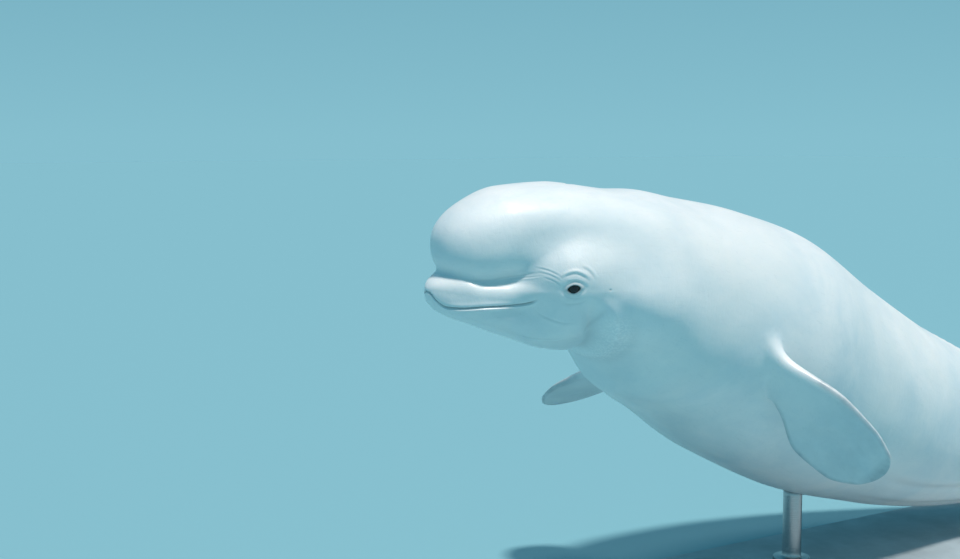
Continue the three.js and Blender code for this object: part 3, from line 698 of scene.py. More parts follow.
def makeBody():
    columns, noseRows = body["columns"], body["noseRows"]
    step = body["bodyStep"]
    rows = body["rows"]
    turn = columnAngles(columns)
    opening = np.linspace(0, math.pi / 2, noseRows + 1)[1:, None]
    direction = np.stack([-np.cos(opening) + 0 * turn, np.sin(opening) * np.cos(turn),
                          np.sin(opening) * np.sin(turn)], -1)
    centre = np.array([noseCentre, 0.0, float(axisHeight(noseCentre))])
    origin = np.broadcast_to(centre, direction.shape)
    reach = castOut(origin[..., 0], origin, direction)
    nose = origin + direction * reach[..., None]

    xs = np.concatenate([np.linspace(a, b, n + 1)[1:] for a, b, n in rows])[:, None]
    headRings = castRing(xs, turn)
    tailXs = np.arange(rows[-1][1] + step, body["end"] + 1, step)[:, None]
    tailRings = castRing(tailXs, turn[::2])
    rings = list(nose) + list(headRings) + list(tailRings)
    flat = np.concatenate(rings)
    normals = fleshNormal(flat)
    move, dark, wrinkled = pressDetails(flat, normals)
    flat = flat + normals * (move - body["inset"])[:, None]
    rings = np.split(flat, np.cumsum([len(ring) for ring in rings])[:-1])
    tip = rings[0].mean(0)
    last = np.array([body["end"], 0.0, float(axisHeight(body["end"]))])
    made = meshFromRings("bodySkin", rings, tip, last)
    # painted shade in the creases, grooves and pits, with the darker tone along the back ridge
    addTone(made.data, "paintedShadeAndRidgeTone", np.concatenate([[0], dark, [0]]))
    addTone(made.data, "wrinkleTone", np.concatenate([[0], wrinkled, [0]]))
    return made


def castRing(xs, turn):
    direction = np.stack([0 * turn, np.cos(turn), np.sin(turn)], -1)
    direction = np.broadcast_to(direction, (len(xs), len(turn), 3))
    origin = np.stack([xs[:, 0], 0 * xs[:, 0], axisHeight(xs[:, 0])], -1)[:, None, :]
    origin = np.broadcast_to(origin, direction.shape)
    reach = castOut(xs, origin, direction)
    return origin + direction * reach[..., None]


# Flippers

flipper = {
    "length": 435, "thickness": 46, "tipShare": 0.25, "roundFrom": 0.92,
    "lead": [(0, 45), (0.25, 76), (0.5, 95), (0.75, 88), (1, 50)],
    "trail": [(0, 72), (0.25, 108), (0.5, 166), (0.75, 152), (1, 62)],
    "left": {"x": 965, "side": 0.94, "z": -105, "sweep": 30, "droop": 32, "twist": 64, "curl": 0},
    "right": {"x": 1025, "side": 0.82, "z": -192, "sweep": 35, "droop": 13.5, "twist": -13, "curl": 20},
    "curlFrom": 0.45, "rimShare": 0.25, "rootBetween": (-0.2, 0.7),
    # the section is blunt in front and fine behind
    "bluntness": 0.97, "fineness": 0.2, "frontExtra": 0.35,
    "fingers": {"from": (0.15, 0.4), "to": (0.8, 0.97), "height": 0.05, "spacing": 17, "shift": 0.6},
    # the skirt that joins it to the body is wider in front, and its last ring dips into the body
    "fillet": 32, "frontFillet": 30, "flare": 26, "frontFlare": 46, "filletRings": 15,
    "bury": 0.6, "dipOut": 9, "dipIn": 7, "heart": 60,
    "columns": 144, "rows": 110,
}
flipperLead, flipperTrail = curveThrough(flipper["lead"]), curveThrough(flipper["trail"])


def flipperFrame(side, turn):
    sweep, droop, twist = (math.radians(turn[name]) for name in ("sweep", "droop", "twist"))
    out = math.cos(droop)
    along = np.array([math.sin(sweep) * out, -math.cos(sweep) * out, -math.sin(droop)])
    level = unit(np.array([1.0, 0, 0]) - along * along[0])
    normal = np.cross(along, level)
    back = level * math.cos(twist) - normal * math.sin(twist)
    mirror = np.array([1, -side, 1])
    along, back = along * mirror, back * mirror
    palm = np.cross(along, back) * -side
    return along, back, palm


def flipperRoot(side, turn):
    return np.array([turn["x"], side * turn["side"] * float(trunk["half"](turn["x"])), turn["z"]])


def flipperSection(share, angle, curl):
    # how far a point of the outline lies behind the axis and above the plane of the flipper
    held = np.maximum(share, 0)
    past = np.maximum(held - flipper["roundFrom"], 0) / (1 - flipper["roundFrom"])
    rounding = np.sqrt(np.maximum(1 - past ** 2, 0))
    ahead, behind = flipperLead(held) * rounding, flipperTrail(held) * rounding
    thick = flipper["thickness"] / 2 * (1 - (1 - flipper["tipShare"]) * held)
    thick = thick * np.maximum(rounding, flipper["rimShare"] * (share < 1))
    chordwise = (behind - ahead) / 2 + (behind + ahead) / 2 * np.cos(angle)
    bluntness = flipper["bluntness"] + flipper["fineness"] * np.cos(angle)
    edge = np.abs(np.sin(angle)) ** bluntness * np.sign(np.sin(angle))
    edge = edge * (1 - flipper["frontExtra"] * np.cos(angle))
    # low ridges of the fingers under the skin
    bones = flipper["fingers"]
    ridges = np.cos(chordwise / bones["spacing"] + bones["shift"]) * within(held, bones)
    curled = np.maximum(share - flipper["curlFrom"], 0) / (1 - flipper["curlFrom"])
    return chordwise, thick * edge * (1 + bones["height"] * ridges) - curl * curled ** 2


def flipperSkirt(corner, upper, front):
    # spreads the root over the body: the first ring dips into it and the others curve up to the flipper
    normal = fleshNormal(corner)
    spread = corner - corner.mean(0)
    spread = unit(spread - np.sum(spread * normal, 1)[:, None] * normal)
    flare = flipper["flare"] + flipper["frontFlare"] * front
    outer = snapToFlesh(corner + spread * flare[:, None])
    outer -= fleshNormal(outer) * flipper["bury"]
    rings = [outer + spread * flipper["dipOut"] - fleshNormal(outer) * flipper["dipIn"]]
    for t in np.linspace(0, 1, flipper["filletRings"], endpoint=False):
        rings.append((1 - t) ** 2 * outer + 2 * t * (1 - t) * corner + t * t * upper)
    return rings


def makeFlipper(name, side):
    turn = flipper[name]
    along, back, palm = flipperFrame(side, turn)
    root = flipperRoot(side, turn)
    columns, rows = flipper["columns"], flipper["rows"]
    angle = 2 * math.pi * np.arange(columns) / columns

    def place(share):
        chordwise, lift = flipperSection(share, angle, turn["curl"])
        point = root + (share * flipper["length"])[:, None] * along
        return point + chordwise[:, None] * back + lift[:, None] * palm

    # where each lengthwise line leaves the body
    low, high = (np.full(columns, share) for share in flipper["rootBetween"])
    for _ in range(22):
        middle = (low + high) / 2
        inside = fleshAt(place(middle)) < 0
        low, high = np.where(inside, middle, low), np.where(inside, high, middle)
    corner = place(high)
    front = np.maximum(-np.cos(angle), 0) ** 3
    start = high + (flipper["fillet"] + flipper["frontFillet"] * front) / flipper["length"]
    rings = flipperSkirt(corner, place(start), front)
    heart = rings[0].mean(0)
    for i in range(rows):
        rings.append(place(start + (1 - start) * math.sin(math.pi / 2 * i / rows)))
    tip = root + along * flipper["length"] - turn["curl"] * palm
    inner = heart - fleshNormal(heart[None])[0] * flipper["heart"]
    return meshFromRings(name + "FlipperSkin", rings, inner, tip)


# Flukes

fluke = {
    "halfSpan": 470, "thickness": 52, "tipThickness": 9, "thinning": 1.3,
    "lead": [(0, 3500), (50, 3560), (75, 3612), (120, 3672), (220, 3757), (330, 3838), (420, 3915),
             (470, 3990)],
    "trail": [(0, 3905), (25, 3945), (90, 4005), (190, 4035), (300, 4040), (400, 4025), (470, 3990)],
    "bluntness": 1.1, "frontExtra": 0.4,
    # the tail stock lies just under the skin of the body, comes out of it, and ends before the notch
    "stockSize": (0.97, 1.01), "stockGrows": (3520, 3640), "stockEnds": (3840, 3900), "stockRim": 6,
    "blend": 40, "blendRim": (6, 40), "blendFrom": (3530, 3690),
    "rows": 110, "crowding": 1.3, "columns": 120,
}
flukeLead, flukeTrail = curveThrough(fluke["lead"]), curveThrough(fluke["trail"])


def plateHeight(share, angle):
    thin = (1 - abs(share)) ** fluke["thinning"]
    thick = (fluke["tipThickness"] + (fluke["thickness"] - fluke["tipThickness"]) * thin) / 2
    edge = math.sqrt(max(1 - share ** 4, 0))
    rounding = np.abs(np.sin(angle)) ** fluke["bluntness"] * (1 + fluke["frontExtra"] * np.cos(angle))
    return rounding * thick * edge


def stockHeight(x, out, angle):
    small, full = fluke["stockSize"]
    size = small + (full - small) * ramp(x, *fluke["stockGrows"])
    power = trunk["sectionPower"]
    rise = np.maximum(1 - (out / trunk["half"](x)) ** power, 0) ** (1 / power)
    rise = rise * (trunk["top"](x) - trunk["bottom"](x)) / 2
    rim = np.minimum(np.abs(np.sin(angle)) * fluke["stockRim"], 1)
    return rise * size * (1 - ramp(x, *fluke["stockEnds"])) * rim


def makeFlukes():
    rows, columns = fluke["rows"], fluke["columns"]
    angle = 2 * math.pi * np.arange(columns) / columns
    rings = []
    across = np.linspace(-1, 1, 2 * rows + 1)[1:-1]
    # rows crowd at the tips, and a little along the middle
    for share in np.sin(math.pi / 2 * np.sign(across) * np.abs(across) ** fluke["crowding"]):
        out = abs(share) * fluke["halfSpan"]
        lead, trail = float(flukeLead(out)), float(flukeTrail(out))
        x = lead + (trail - lead) / 2 * (1 - np.cos(angle))
        plate, stock = plateHeight(share, angle), stockHeight(x, out, angle)
        joined = np.maximum(fluke["blend"] - np.abs(plate - stock), 0) ** 2 / fluke["blend"] / 4
        # none at the sharp rims, and coming in gently behind the place where the plate starts
        joined = joined * ramp(plate + stock, *fluke["blendRim"]) * ramp(x, *fluke["blendFrom"])
        height = np.sign(np.sin(angle)) * (np.maximum(plate, stock) + joined)
        rings.append(np.stack([x, 0 * x + share * fluke["halfSpan"], height], -1))
    left = np.array([float(flukeLead(fluke["halfSpan"])), -fluke["halfSpan"], 0.0])
    right = left * np.array([1, -1, 1])
    return meshFromRings("flukeSkin", rings, left, right)


# One skin

def joinSolids(first, others):
    for other in others:
        union = first.modifiers.new("join", "BOOLEAN")
        union.operation = "UNION"
        union.solver = "MANIFOLD"
        union.object = other
        depsgraph = bpy.context.evaluated_depsgraph_get()
        joined = bpy.data.meshes.new_from_object(first.evaluated_get(depsgraph))
        first.modifiers.clear()
        first.data = joined
        bpy.data.objects.remove(other)
    return first


def pointsOf(mesh):
    places = np.zeros(len(mesh.vertices) * 3, np.float32)
    mesh.vertices.foreach_get("co", places)
    return places.reshape(-1, 3).astype(float)


def bendMesh(mesh, straight):
    # puts a mesh from its places on the straight spine onto the bent one
    mesh.vertices.foreach_set("co", bendToPose(straight).astype(np.float32).ravel())
    mesh.polygons.foreach_set("use_smooth", np.ones(len(mesh.polygons), bool))
    mesh.update()


def addTone(mesh, name, values):
    kind, key = ("FLOAT_VECTOR", "vector") if values.ndim == 2 else ("FLOAT", "value")
    attribute = mesh.attributes.new(name, kind, "POINT")
    attribute.data.foreach_set(key, values.astype(np.float32).ravel())


def makeSkin():
    whole = makeBody()
    print("body skin made:", len(whole.data.vertices), "points")
    others = [makeFlipper("left", -1), makeFlipper("right", 1), makeFlukes()]
    whole = joinSolids(whole, others)
    whole.name = "whaleSkin"
    mesh = whole.data
    mesh.name = "whaleSkin"
    straight = pointsOf(mesh) / millimetre
    straight = relaxed(mesh, straight, seamShare(straight))
    addTone(mesh, "fleshPlace", straight * millimetre)
    addTone(mesh, "edgeTone", edgeTone(straight))
    bendMesh(mesh, straight)
    print("skin joined:", len(mesh.vertices), "points")
    return whole


def onFlipper(points, name, side):
    # how far points lie along a flipper, behind its axis and off its plane
    along, back, palm = flipperFrame(side, flipper[name])
    off = points - flipperRoot(side, flipper[name])
    return off @ along, off @ back, np.abs(off @ palm)


# The joins of the skins are smoothed inside these limits
seams = {
    "fluke": {"from": (3460, 3560), "to": (3760, 3860), "out": (62, 98)},
    "flipper": {"share": 0.5, "start": -200, "end": (90, 160), "off": (60, 110), "wide": (140, 190)},
    "passes": 90, "pull": 0.7,
}


def seamShare(points):
    # 1 at the root of the flukes, less at the roots of the flippers, and 0 away from them
    area = seams["fluke"]
    share = within(points[:, 0], area) * (1 - ramp(np.abs(points[:, 1]), *area["out"]))
    area = seams["flipper"]
    for name, side in (("left", -1), ("right", 1)):
        along, behind, off = onFlipper(points, name, side)
        near = (along > area["start"]) * (1 - ramp(along, *area["end"]))
        near = near * (1 - ramp(off, *area["off"])) * (1 - ramp(np.abs(behind), *area["wide"]))
        share = np.maximum(share, area["share"] * near)
    return share


def relaxed(mesh, points, share):
    # draws each point towards the middle of its neighbours, which rounds the seams
    edges = np.zeros(len(mesh.edges) * 2, np.int32)
    mesh.edges.foreach_get("vertices", edges)
    edges = edges.reshape(-1, 2)
    edges = edges[(share[edges] > 0).any(1)]
    moved = np.unique(edges)
    local = np.zeros(len(points), int)
    local[moved] = np.arange(len(moved))
    first, second = local[edges].T
    count = np.bincount(first, minlength=len(moved)) + np.bincount(second, minlength=len(moved))
    spots, pull = points[moved], seams["pull"] * share[moved][:, None]
    for _ in range(seams["passes"]):
        total = np.stack([np.bincount(first, spots[second, k], len(moved))
                          + np.bincount(second, spots[first, k], len(moved)) for k in range(3)], 1)
        spots = spots + pull * (total / count[:, None] - spots)
    points = points.copy()
    points[moved] = spots
    return points


# The fins are a little greyer than the body, and greyer still towards their rims and tips
finTone = {
    "blade": 0.3, "offBody": (4, 30),
    "flipper": {"off": 50, "wide": 200, "lead": 20, "trail": 26, "tip": (0.86, 1), "blade": (0.1, 0.8),
                "ends": (0.05, 1.05), "root": (0.05, 0.35)},
    "fluke": {"start": 3560, "root": (30, 90), "trail": (55, 5), "tip": (380, 470), "blade": (60, 300)},
}


def edgeTone(points):
    tone = np.zeros(len(points))
    offBody = ramp(fleshAt(points), *finTone["offBody"])
    area = finTone["flipper"]
    for name, side in (("left", -1), ("right", 1)):
        along, behind, off = onFlipper(points, name, side)
        share = along / flipper["length"]
        first, last = area["ends"]
        close = (off < area["off"]) & (share > first) & (share < last) & (np.abs(behind) < area["wide"])
        held = np.clip(share, 0, 1)
        lead, trail = flipperLead(held), flipperTrail(held)
        rim = np.maximum(ramp(-behind, lead - area["lead"], lead), ramp(behind, trail - area["trail"], trail))
        rim = np.maximum(rim, ramp(share, *area["tip"]))
        rim = np.maximum(rim, finTone["blade"] * ramp(share, *area["blade"]))
        tone = np.maximum(tone, close * rim * ramp(share, *area["root"]) * offBody)
    area = finTone["fluke"]
    x, out = points[:, 0], np.abs(points[:, 1])
    trail = flukeTrail(np.minimum(out, fluke["halfSpan"]))
    start, end = area["trail"]
    rim = np.maximum(ramp(x, trail - start, trail - end), ramp(out, *area["tip"]))
    rim = np.maximum(rim, finTone["blade"] * ramp(out, *area["blade"]))
    return np.maximum(tone, (x > area["start"]) * ramp(out, *area["root"]) * rim)


# Finishes

def newMaterial(name):
    made = bpy.data.materials.new(name)
    made.use_nodes = True
    tree = made.node_tree
    shader = next(n for n in tree.nodes if n.type == "BSDF_PRINCIPLED")
    return made, tree, shader


def addNode(tree, kind, **values):
    made = tree.nodes.new(kind)
    for key, value in values.items():
        if key in made.inputs:
            made.inputs[key].default_value = value
        else:
            setattr(made, key, value)
    return made


def attributeNode(tree, name):
    return addNode(tree, "ShaderNodeAttribute", attribute_name=name)


def feed(tree, socket, value):
    # a colour written as three numbers, a number, or the socket of another node
    if hasattr(value, "is_output"):
        tree.links.new(value, socket)
    elif isinstance(value, tuple):
        socket.default_value = (*value, 1)
    else:
        socket.default_value = value


def mixColour(tree, share, first, second):
    made = addNode(tree, "ShaderNodeMix", data_type="RGBA")
    for socket, value in ((made.inputs[0], share), (made.inputs[6], first), (made.inputs[7], second)):
        feed(tree, socket, value)
    return made.outputs[2]


def rampNode(tree, source, stops):
    made = addNode(tree, "ShaderNodeValToRGB")
    tree.links.new(source, made.inputs[0])
    elements = made.color_ramp.elements
    while len(elements) < len(stops):
        elements.new(0.5)
    for element, (position, value) in zip(elements, stops):
        element.position = position
        element.color = (value, value, value, 1) if isinstance(value, (int, float)) else (*value, 1)
    return made.outputs[0]


def mathNode(tree, operation, first, second):
    made = addNode(tree, "ShaderNodeMath", operation=operation)
    feed(tree, made.inputs[0], first)
    feed(tree, made.inputs[1], second)
    return made.outputs[0]


skinFinish = {
    "pale": (0.85, 0.87, 0.865), "cool": (0.67, 0.76, 0.79), "cream": (0.86, 0.85, 0.81),
    # crease is the colour of the painted shade in creases, grooves and pits, and of the darker tone along the
    # back ridge
    "rim": (0.33, 0.40, 0.43), "crease": (0.14, 0.19, 0.21), "scar": (0.66, 0.71, 0.72),
    # speck is the pale of the specks on the wrinkled roll, partly peeling skin and partly painted highlight
    "speck": (0.95, 0.96, 0.95), "rimShare": 0.9,
    "roughness": (0.34, 0.54), "subsurface": 0.12, "bleed": (0.6, 0.8, 1.0), "bleedDepth": 0.012,
    "coat": 0.18, "coatRoughness": 0.18,
}
# What breaks up the skin: scale, detail, roughness and distortion of each pattern
skinPatterns = {
    "clouds": (3.2, 5, 0.6, 0.4), "warmth": (1.7, 3), "flecks": (95, 3, 0.7),
    "scratches": (4.0, 6, 0.75, 0.6), "rims": (22, 4), "specks": (150, 3, 0.6), "gloss": (14, 5),
    "pores": (420, 2, 0.5), "wrinkles": (3.0, 6, 0.6, 0.7), "swell": (9, 3, 0.5),
    "creping": (95, 4, 0.6, 0.8),
}
# Patterns that run along or across the body are squeezed along it, aside and upwards by these
skinStretch = {"scratches": (2.2, 30, 30), "wrinkles": (22, 10, 10), "creping": (1.6, 1, 1)}
# How strongly each pattern shows, from one value of the pattern to the next
skinStops = {
    "clouds": [(0.38, 0.0), (0.66, 1.0)], "warmth": [(0.5, 0.0), (0.72, 0.5)],
    "flecks": [(0.62, 0.0), (0.72, 0.35)], "scratches": [(0.60, 0.0), (0.635, 0.5), (0.67, 0.0)],
    "rims": [(0.3, 0.4), (0.7, 1.0)], "specks": [(0.46, 0.0), (0.6, 0.9)],
}
skinRelief = {"pores": 0.10, "wrinkles": 0.4, "swell": 1.2, "strength": 0.4, "distance": 0.005}


def noise(tree, place, scale, detail=4.0, roughness=0.55, distortion=0.0):
    made = addNode(tree, "ShaderNodeTexNoise", Scale=scale, Detail=detail, Roughness=roughness,
                   Distortion=distortion)
    tree.links.new(place, made.inputs["Vector"])
    return made.outputs[0]


def stretched(tree, place, scale):
    made = addNode(tree, "ShaderNodeMapping")
    made.inputs["Scale"].default_value = scale
    tree.links.new(place, made.inputs["Vector"])
    return made.outputs[0]


def skinPattern(tree, name):
    place = attributeNode(tree, "fleshPlace").outputs["Vector"]
    if name in skinStretch:
        place = stretched(tree, place, skinStretch[name])
    return noise(tree, place, *skinPatterns[name])


def skinShare(tree, name):
    return rampNode(tree, skinPattern(tree, name), skinStops[name])


def skinColour(tree):
    colour = skinFinish["pale"]
    for name, tone in (("clouds", "cool"), ("warmth", "cream"), ("flecks", "scar"), ("scratches", "scar")):
        colour = mixColour(tree, skinShare(tree, name), colour, skinFinish[tone])
    rim = mathNode(tree, "MULTIPLY", attributeNode(tree, "edgeTone").outputs["Fac"], skinShare(tree, "rims"))
    rim = mathNode(tree, "MULTIPLY", rim, skinFinish["rimShare"])
    colour = mixColour(tree, rim, colour, skinFinish["rim"])
    # painted shade: darkens the creases, folds, mouth groove, eyes, ear, blowhole, belly slits and the
    # hollows by the neck roll; also a darker tone along the top of the back ridge
    crease = attributeNode(tree, "paintedShadeAndRidgeTone").outputs["Fac"]
    colour = mixColour(tree, crease, colour, skinFinish["crease"])
    # pale specks on the wrinkled roll: partly the whitish peeling skin there, partly a painted highlight
    # where the crests of the wrinkles catch the light
    wrinkled = attributeNode(tree, "wrinkleTone").outputs["Fac"]
    specks = mathNode(tree, "MULTIPLY", skinShare(tree, "specks"), wrinkled)
    return mixColour(tree, specks, colour, skinFinish["speck"])


def skinHeight(tree):
    # pores, fine wrinkles across the body, a longer soft swell, and creping on the wrinkled roll
    layers = [mathNode(tree, "MULTIPLY", skinPattern(tree, name), skinRelief[name])
              for name in ("pores", "wrinkles", "swell")]
    wrinkled = attributeNode(tree, "wrinkleTone").outputs["Fac"]
    layers.append(mathNode(tree, "MULTIPLY", skinPattern(tree, "creping"), wrinkled))
    height = layers[0]
    for layer in layers[1:]:
        height = mathNode(tree, "ADD", height, layer)
    return height


def addBump(tree, shader, height, strength, distance):
    bump = addNode(tree, "ShaderNodeBump", Strength=strength, Distance=distance)
    tree.links.new(height, bump.inputs["Height"])
    tree.links.new(bump.outputs[0], shader.inputs["Normal"])


def makeSkinMaterial():
    made, tree, shader = newMaterial("belugaSkin")
    tree.links.new(skinColour(tree), shader.inputs["Base Color"])
    smooth, rough = skinFinish["roughness"]
    gloss = rampNode(tree, skinPattern(tree, "gloss"), [(0.3, smooth), (0.7, rough)])
    tree.links.new(gloss, shader.inputs["Roughness"])
    shader.inputs["Subsurface Weight"].default_value = skinFinish["subsurface"]
    shader.inputs["Subsurface Radius"].default_value = skinFinish["bleed"]
    shader.inputs["Subsurface Scale"].default_value = skinFinish["bleedDepth"]
    shader.inputs["Coat Weight"].default_value = skinFinish["coat"]
    shader.inputs["Coat Roughness"].default_value = skinFinish["coatRoughness"]
    addBump(tree, shader, skinHeight(tree), skinRelief["strength"], skinRelief["distance"])
    return made


# Each colour has the shares of the way from the pupil to the white where it stands
eyeFinish = {
    "dark": (0.010, 0.011, 0.014), "iris": (0.055, 0.035, 0.022), "white": (0.30, 0.29, 0.28),
    "stops": [(0.0, "dark"), (0.30, "dark"), (0.36, "iris"), (0.60, "dark"), (0.78, "dark"), (0.95, "white")],
    "grain": (260, 4, 0.6), "grainShare": 0.10,
    "roughness": 0.10, "specular": 0.3, "coat": 0.25, "coatRoughness": 0.03,
}


def makeEyeMaterial():
    made, tree, shader = newMaterial("wetEye")
    place = attributeNode(tree, "fromPupil").outputs["Fac"]
    grain = noise(tree, attributeNode(tree, "eyePlace").outputs["Vector"], *eyeFinish["grain"])
    grain = mathNode(tree, "MULTIPLY", mathNode(tree, "SUBTRACT", grain, 0.5), eyeFinish["grainShare"])
    stops = [(share, eyeFinish[name]) for share, name in eyeFinish["stops"]]
    colour = rampNode(tree, mathNode(tree, "ADD", place, grain), stops)
    tree.links.new(colour, shader.inputs["Base Color"])
    shader.inputs["Roughness"].default_value = eyeFinish["roughness"]
    shader.inputs["Specular IOR Level"].default_value = eyeFinish["specular"]
    shader.inputs["Coat Weight"].default_value = eyeFinish["coat"]
    shader.inputs["Coat Roughness"].default_value = eyeFinish["coatRoughness"]
    return made


def makeEye(side, node):
    seat = eyeFrames[side]
    centre = seat["spot"] + seat["outward"] * (eye["proud"] - eye["radius"])
    turn = 2 * math.pi * np.arange(eye["turns"]) / eye["turns"]
    around = np.outer(np.cos(turn), seat["forward"]) + np.outer(np.sin(turn), seat["upward"])
    rings = []
    shares = []
    for opening in math.pi * np.arange(1, eye["rings"]) / eye["rings"]:
        # the clear front of the eye stands a little proud of the ball
        rise = 1 + eye["clearRise"] * hump(math.degrees(opening), 0, eye["clearWidth"])
        ring = seat["outward"] * math.cos(opening) + around * math.sin(opening)
        rings.append(centre + eye["radius"] * rise * ring)
        shares.append(np.full(len(turn), opening / (math.pi / 2)))
    front = centre + seat["outward"] * eye["radius"] * (1 + eye["clearRise"])
    rear = centre - seat["outward"] * eye["radius"]
    made = meshFromRings("eyeLeft" if side < 0 else "eyeRight", rings, front, rear)
    mesh = made.data
    fromPupil = np.concatenate([[0.0], *shares, [2.0]])
    addTone(mesh, "fromPupil", np.clip(fromPupil, 0, 1))
    straight = pointsOf(mesh)
    addTone(mesh, "eyePlace", straight)
    bendMesh(mesh, straight / millimetre)
    mesh.materials.append(eyeMaterial)
    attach(made, "root")
    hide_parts(node)
    return made


# Stand

stand = {
    "length": 2.3, "width": 0.9, "height": 0.04, "corner": 0.12, "cornerSteps": 20,
    "bevel": 0.004, "bevelSteps": 6,
    "front": 1640, "rear": 2900, "rodRadius": 0.032, "rodTurns": 72, "rodSteps": 12, "intoSkin": 0.004,
    # a flange with a small bevel at its foot, a round edge and a weld round the rod
    "flangeRadius": 0.062, "flangeHeight": 0.012, "flangeBevel": 0.0012, "flangeRound": 0.003,
    "weld": [(0.006, 0.0), (0.002, 0.0016), (0.0, 0.005)], "rodStart": 0.02,
}


def quarterTurn(steps):
    # (share inwards, share upwards) round a quarter circle that starts upright and ends level
    for angle in math.pi / 2 * np.arange(steps + 1) / steps:
        yield 1 - math.cos(angle), math.sin(angle)


def makeBase():
    corners = []
    for cx, cy, start in ((1, -1, -90), (1, 1, 0), (-1, 1, 90), (-1, -1, 180)):
        for angle in np.radians(start + np.linspace(0, 90, stand["cornerSteps"] + 1)):
            corners.append((cx, cy, math.cos(angle), math.sin(angle)))
    cornerX, cornerY, outX, outY = np.array(corners).T
    x = stand["length"] / 2 - stand["corner"]
    y = stand["width"] / 2 - stand["corner"]
    bevel, height = stand["bevel"], stand["height"]
    rounds = list(quarterTurn(stand["bevelSteps"]))
    profile = [(bevel * inwards, bevel * (1 - upwards)) for inwards, upwards in reversed(rounds)]
    profile += [(bevel * inwards, height - bevel * (1 - upwards)) for inwards, upwards in rounds]
    rings = []
    for inset, z in profile:
        r = stand["corner"] - inset
        ring = np.stack([cornerX * x + outX * r, cornerY * y + outY * r, 0 * outX + z], -1)
        rings.append(ring / millimetre)
    made = meshFromRings("standBase", rings, (0, 0, 0), (0, 0, height / millimetre))
    made.data.materials.append(paintMaterial)
    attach(made, "root")
    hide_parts("stand_base")
    return made


def makeRod(name, along, node):
    x, y, _ = bendToPose(np.array([[along, 0.0, float(axisHeight(along))]]))[0]
    bottom = stand["height"]
    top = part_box(node)[1].z + stand["intoSkin"]
    radius, flange, shoulder = stand["rodRadius"], stand["flangeRadius"], bottom + stand["flangeHeight"]
    bevel, rounding = stand["flangeBevel"], stand["flangeRound"]
    profile = [(flange - bevel, bottom), (flange, bottom + bevel)]
    for inwards, upwards in quarterTurn(5):
        profile.append((flange - rounding * inwards, shoulder - rounding * (1 - upwards)))
    profile += [(radius + out, shoulder + up) for out, up in stand["weld"]]
    profile += [(radius, z) for z in np.linspace(shoulder + stand["rodStart"], top, stand["rodSteps"])]
    turn = 2 * math.pi * np.arange(stand["rodTurns"]) / stand["rodTurns"]
    rings = [np.stack([x + r * np.cos(turn), y + r * np.sin(turn), 0 * turn + z], -1) / millimetre
             for r, z in profile]
    foot, head = np.array([x, y, bottom]) / millimetre, np.array([x, y, top]) / millimetre
    made = meshFromRings(name, rings, foot, head)
    made.data.polygons.foreach_set("use_smooth", np.ones(len(made.data.polygons), bool))
    made.data.materials.append(steelMaterial)
    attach(made, "root")
    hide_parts(node)
    return made


# Patterns are scale, detail and roughness; a bump is its strength and distance
paint = {
    "colour": (0.30, 0.36, 0.385), "lighter": 1.35, "patches": (6, 4),
    "roughness": (0.42, 0.56), "gloss": (35, 5), "grain": (900, 2), "bump": (0.25, 0.0006),
}
steel = {
    "colour": (0.56, 0.57, 0.58), "darker": 0.8, "roughness": (0.24, 0.40),
    "brushStretch": (3, 3, 260), "brush": (6, 5, 0.7), "bump": (0.2, 0.0003),
}


def makePaint():
    made, tree, shader = newMaterial("satinPaint")
    place = addNode(tree, "ShaderNodeTexCoord").outputs["Object"]
    tone = rampNode(tree, noise(tree, place, *paint["patches"]), [(0.35, 0.0), (0.7, 1.0)])
    lighter = tuple(c * paint["lighter"] for c in paint["colour"])
    tree.links.new(mixColour(tree, tone, paint["colour"], lighter), shader.inputs["Base Color"])
    smooth, rough = paint["roughness"]
    gloss = rampNode(tree, noise(tree, place, *paint["gloss"]), [(0.3, smooth), (0.7, rough)])
    tree.links.new(gloss, shader.inputs["Roughness"])
    addBump(tree, shader, noise(tree, place, *paint["grain"]), *paint["bump"])
    return made


def makeSteel():
    made, tree, shader = newMaterial("brushedSteel")
    place = addNode(tree, "ShaderNodeTexCoord").outputs["Object"]
    brush = noise(tree, stretched(tree, place, steel["brushStretch"]), *steel["brush"])
    tone = rampNode(tree, brush, [(0.3, 0.0), (0.7, 1.0)])
    darker = tuple(c * steel["darker"] for c in steel["colour"])
    tree.links.new(mixColour(tree, tone, darker, steel["colour"]), shader.inputs["Base Color"])
    smooth, rough = steel["roughness"]
    tree.links.new(rampNode(tree, brush, [(0.3, smooth), (0.7, rough)]), shader.inputs["Roughness"])
    shader.inputs["Metallic"].default_value = 1.0
    addBump(tree, shader, brush, *steel["bump"])
    return made


# Camera, floor and light

view = {"place": (-3.818, -3.198, 1.482), "tilt": 84.26, "turn": -32.97, "lens": 53.13, "sensor": 36}
studio = {
    "floor": (0.194, 0.4225, 0.4853), "floorRoughness": 0.7, "floorSize": 80,
    "horizon": (0.24, 0.52, 0.62), "above": (0.03, 0.19, 0.30), "rise": 0.5, "fill": 1.0,
    "lamps": [
        {"name": "key", "strength": 3.1, "angle": 6, "tilt": (20, 0)},
        {"name": "top", "strength": 0.7, "angle": 20, "tilt": (0, 0)},
    ],
    "lampColour": (1.0, 0.90, 0.84),
}


def makeCamera():
    data = bpy.data.cameras.new("view")
    made = bpy.data.objects.new("view", data)
    bpy.context.scene.collection.objects.link(made)
    made.location = view["place"]
    made.rotation_euler = (math.radians(view["tilt"]), 0, math.radians(view["turn"]))
    data.sensor_fit = "HORIZONTAL"
    data.sensor_width = view["sensor"]
    data.lens = view["lens"]
    data.clip_end = 200
    bpy.context.scene.camera = made


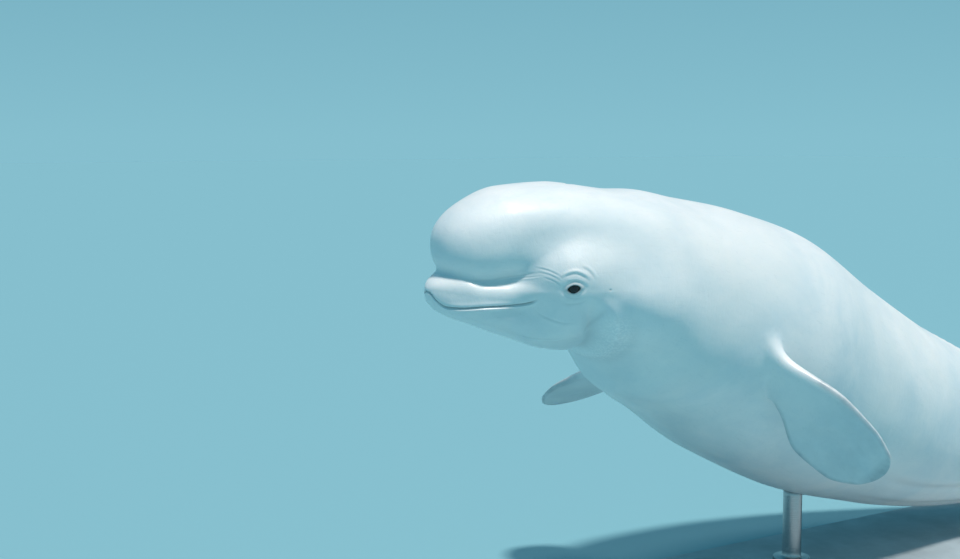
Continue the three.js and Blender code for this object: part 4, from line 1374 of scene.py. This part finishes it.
def makeStudio():
    size = studio["floorSize"]
    mesh = bpy.data.meshes.new("floor")
    corners = [(-size, -size, 0), (size, -size, 0), (size, size, 0), (-size, size, 0)]
    mesh.from_pydata(corners, [], [(0, 1, 2, 3)])
    floor = bpy.data.objects.new("floor", mesh)
    bpy.context.scene.collection.objects.link(floor)
    made, tree, shader = newMaterial("paleFloor")
    shader.inputs["Base Color"].default_value = (*studio["floor"], 1)
    shader.inputs["Roughness"].default_value = studio["floorRoughness"]
    mesh.materials.append(made)

    world = bpy.data.worlds.new("studio")
    bpy.context.scene.world = world
    world.use_nodes = True
    tree = world.node_tree
    background = next(n for n in tree.nodes if n.type == "BACKGROUND")
    split = addNode(tree, "ShaderNodeSeparateXYZ")
    tree.links.new(addNode(tree, "ShaderNodeTexCoord").outputs["Generated"], split.inputs[0])
    sky = rampNode(tree, split.outputs[2], [(0.0, studio["horizon"]), (studio["rise"], studio["above"])])
    tree.links.new(sky, background.inputs["Color"])
    background.inputs["Strength"].default_value = studio["fill"]

    for lamp in studio["lamps"]:
        data = bpy.data.lights.new(lamp["name"], "SUN")
        data.energy = lamp["strength"]
        data.angle = math.radians(lamp["angle"])
        data.color = studio["lampColour"]
        made = bpy.data.objects.new(lamp["name"], data)
        made.rotation_euler = (math.radians(lamp["tilt"][0]), math.radians(lamp["tilt"][1]), 0)
        bpy.context.scene.collection.objects.link(made)
    bpy.context.scene.view_settings.view_transform = "Standard"


makeCamera()
makeStudio()
print("camera, floor and light made")

skinMaterial = makeSkinMaterial()
eyeMaterial = makeEyeMaterial()
paintMaterial = makePaint()
steelMaterial = makeSteel()

skin = makeSkin()
skin.data.materials.clear()
skin.data.materials.append(skinMaterial)
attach(skin, "root")
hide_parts("head", "melon", "lower_jaw", "neck", "chest", "torso", "loin", "tail_stock",
            "flipper_left", "flipper_right", "fluke_left", "fluke_right")

makeEye(-1, "eye_left")
makeEye(1, "eye_right")
makeBase()
makeRod("rodFront", stand["front"], "stand_rod_front")
makeRod("rodRear", stand["rear"], "stand_rod_rear")
print("eyes and stand made")
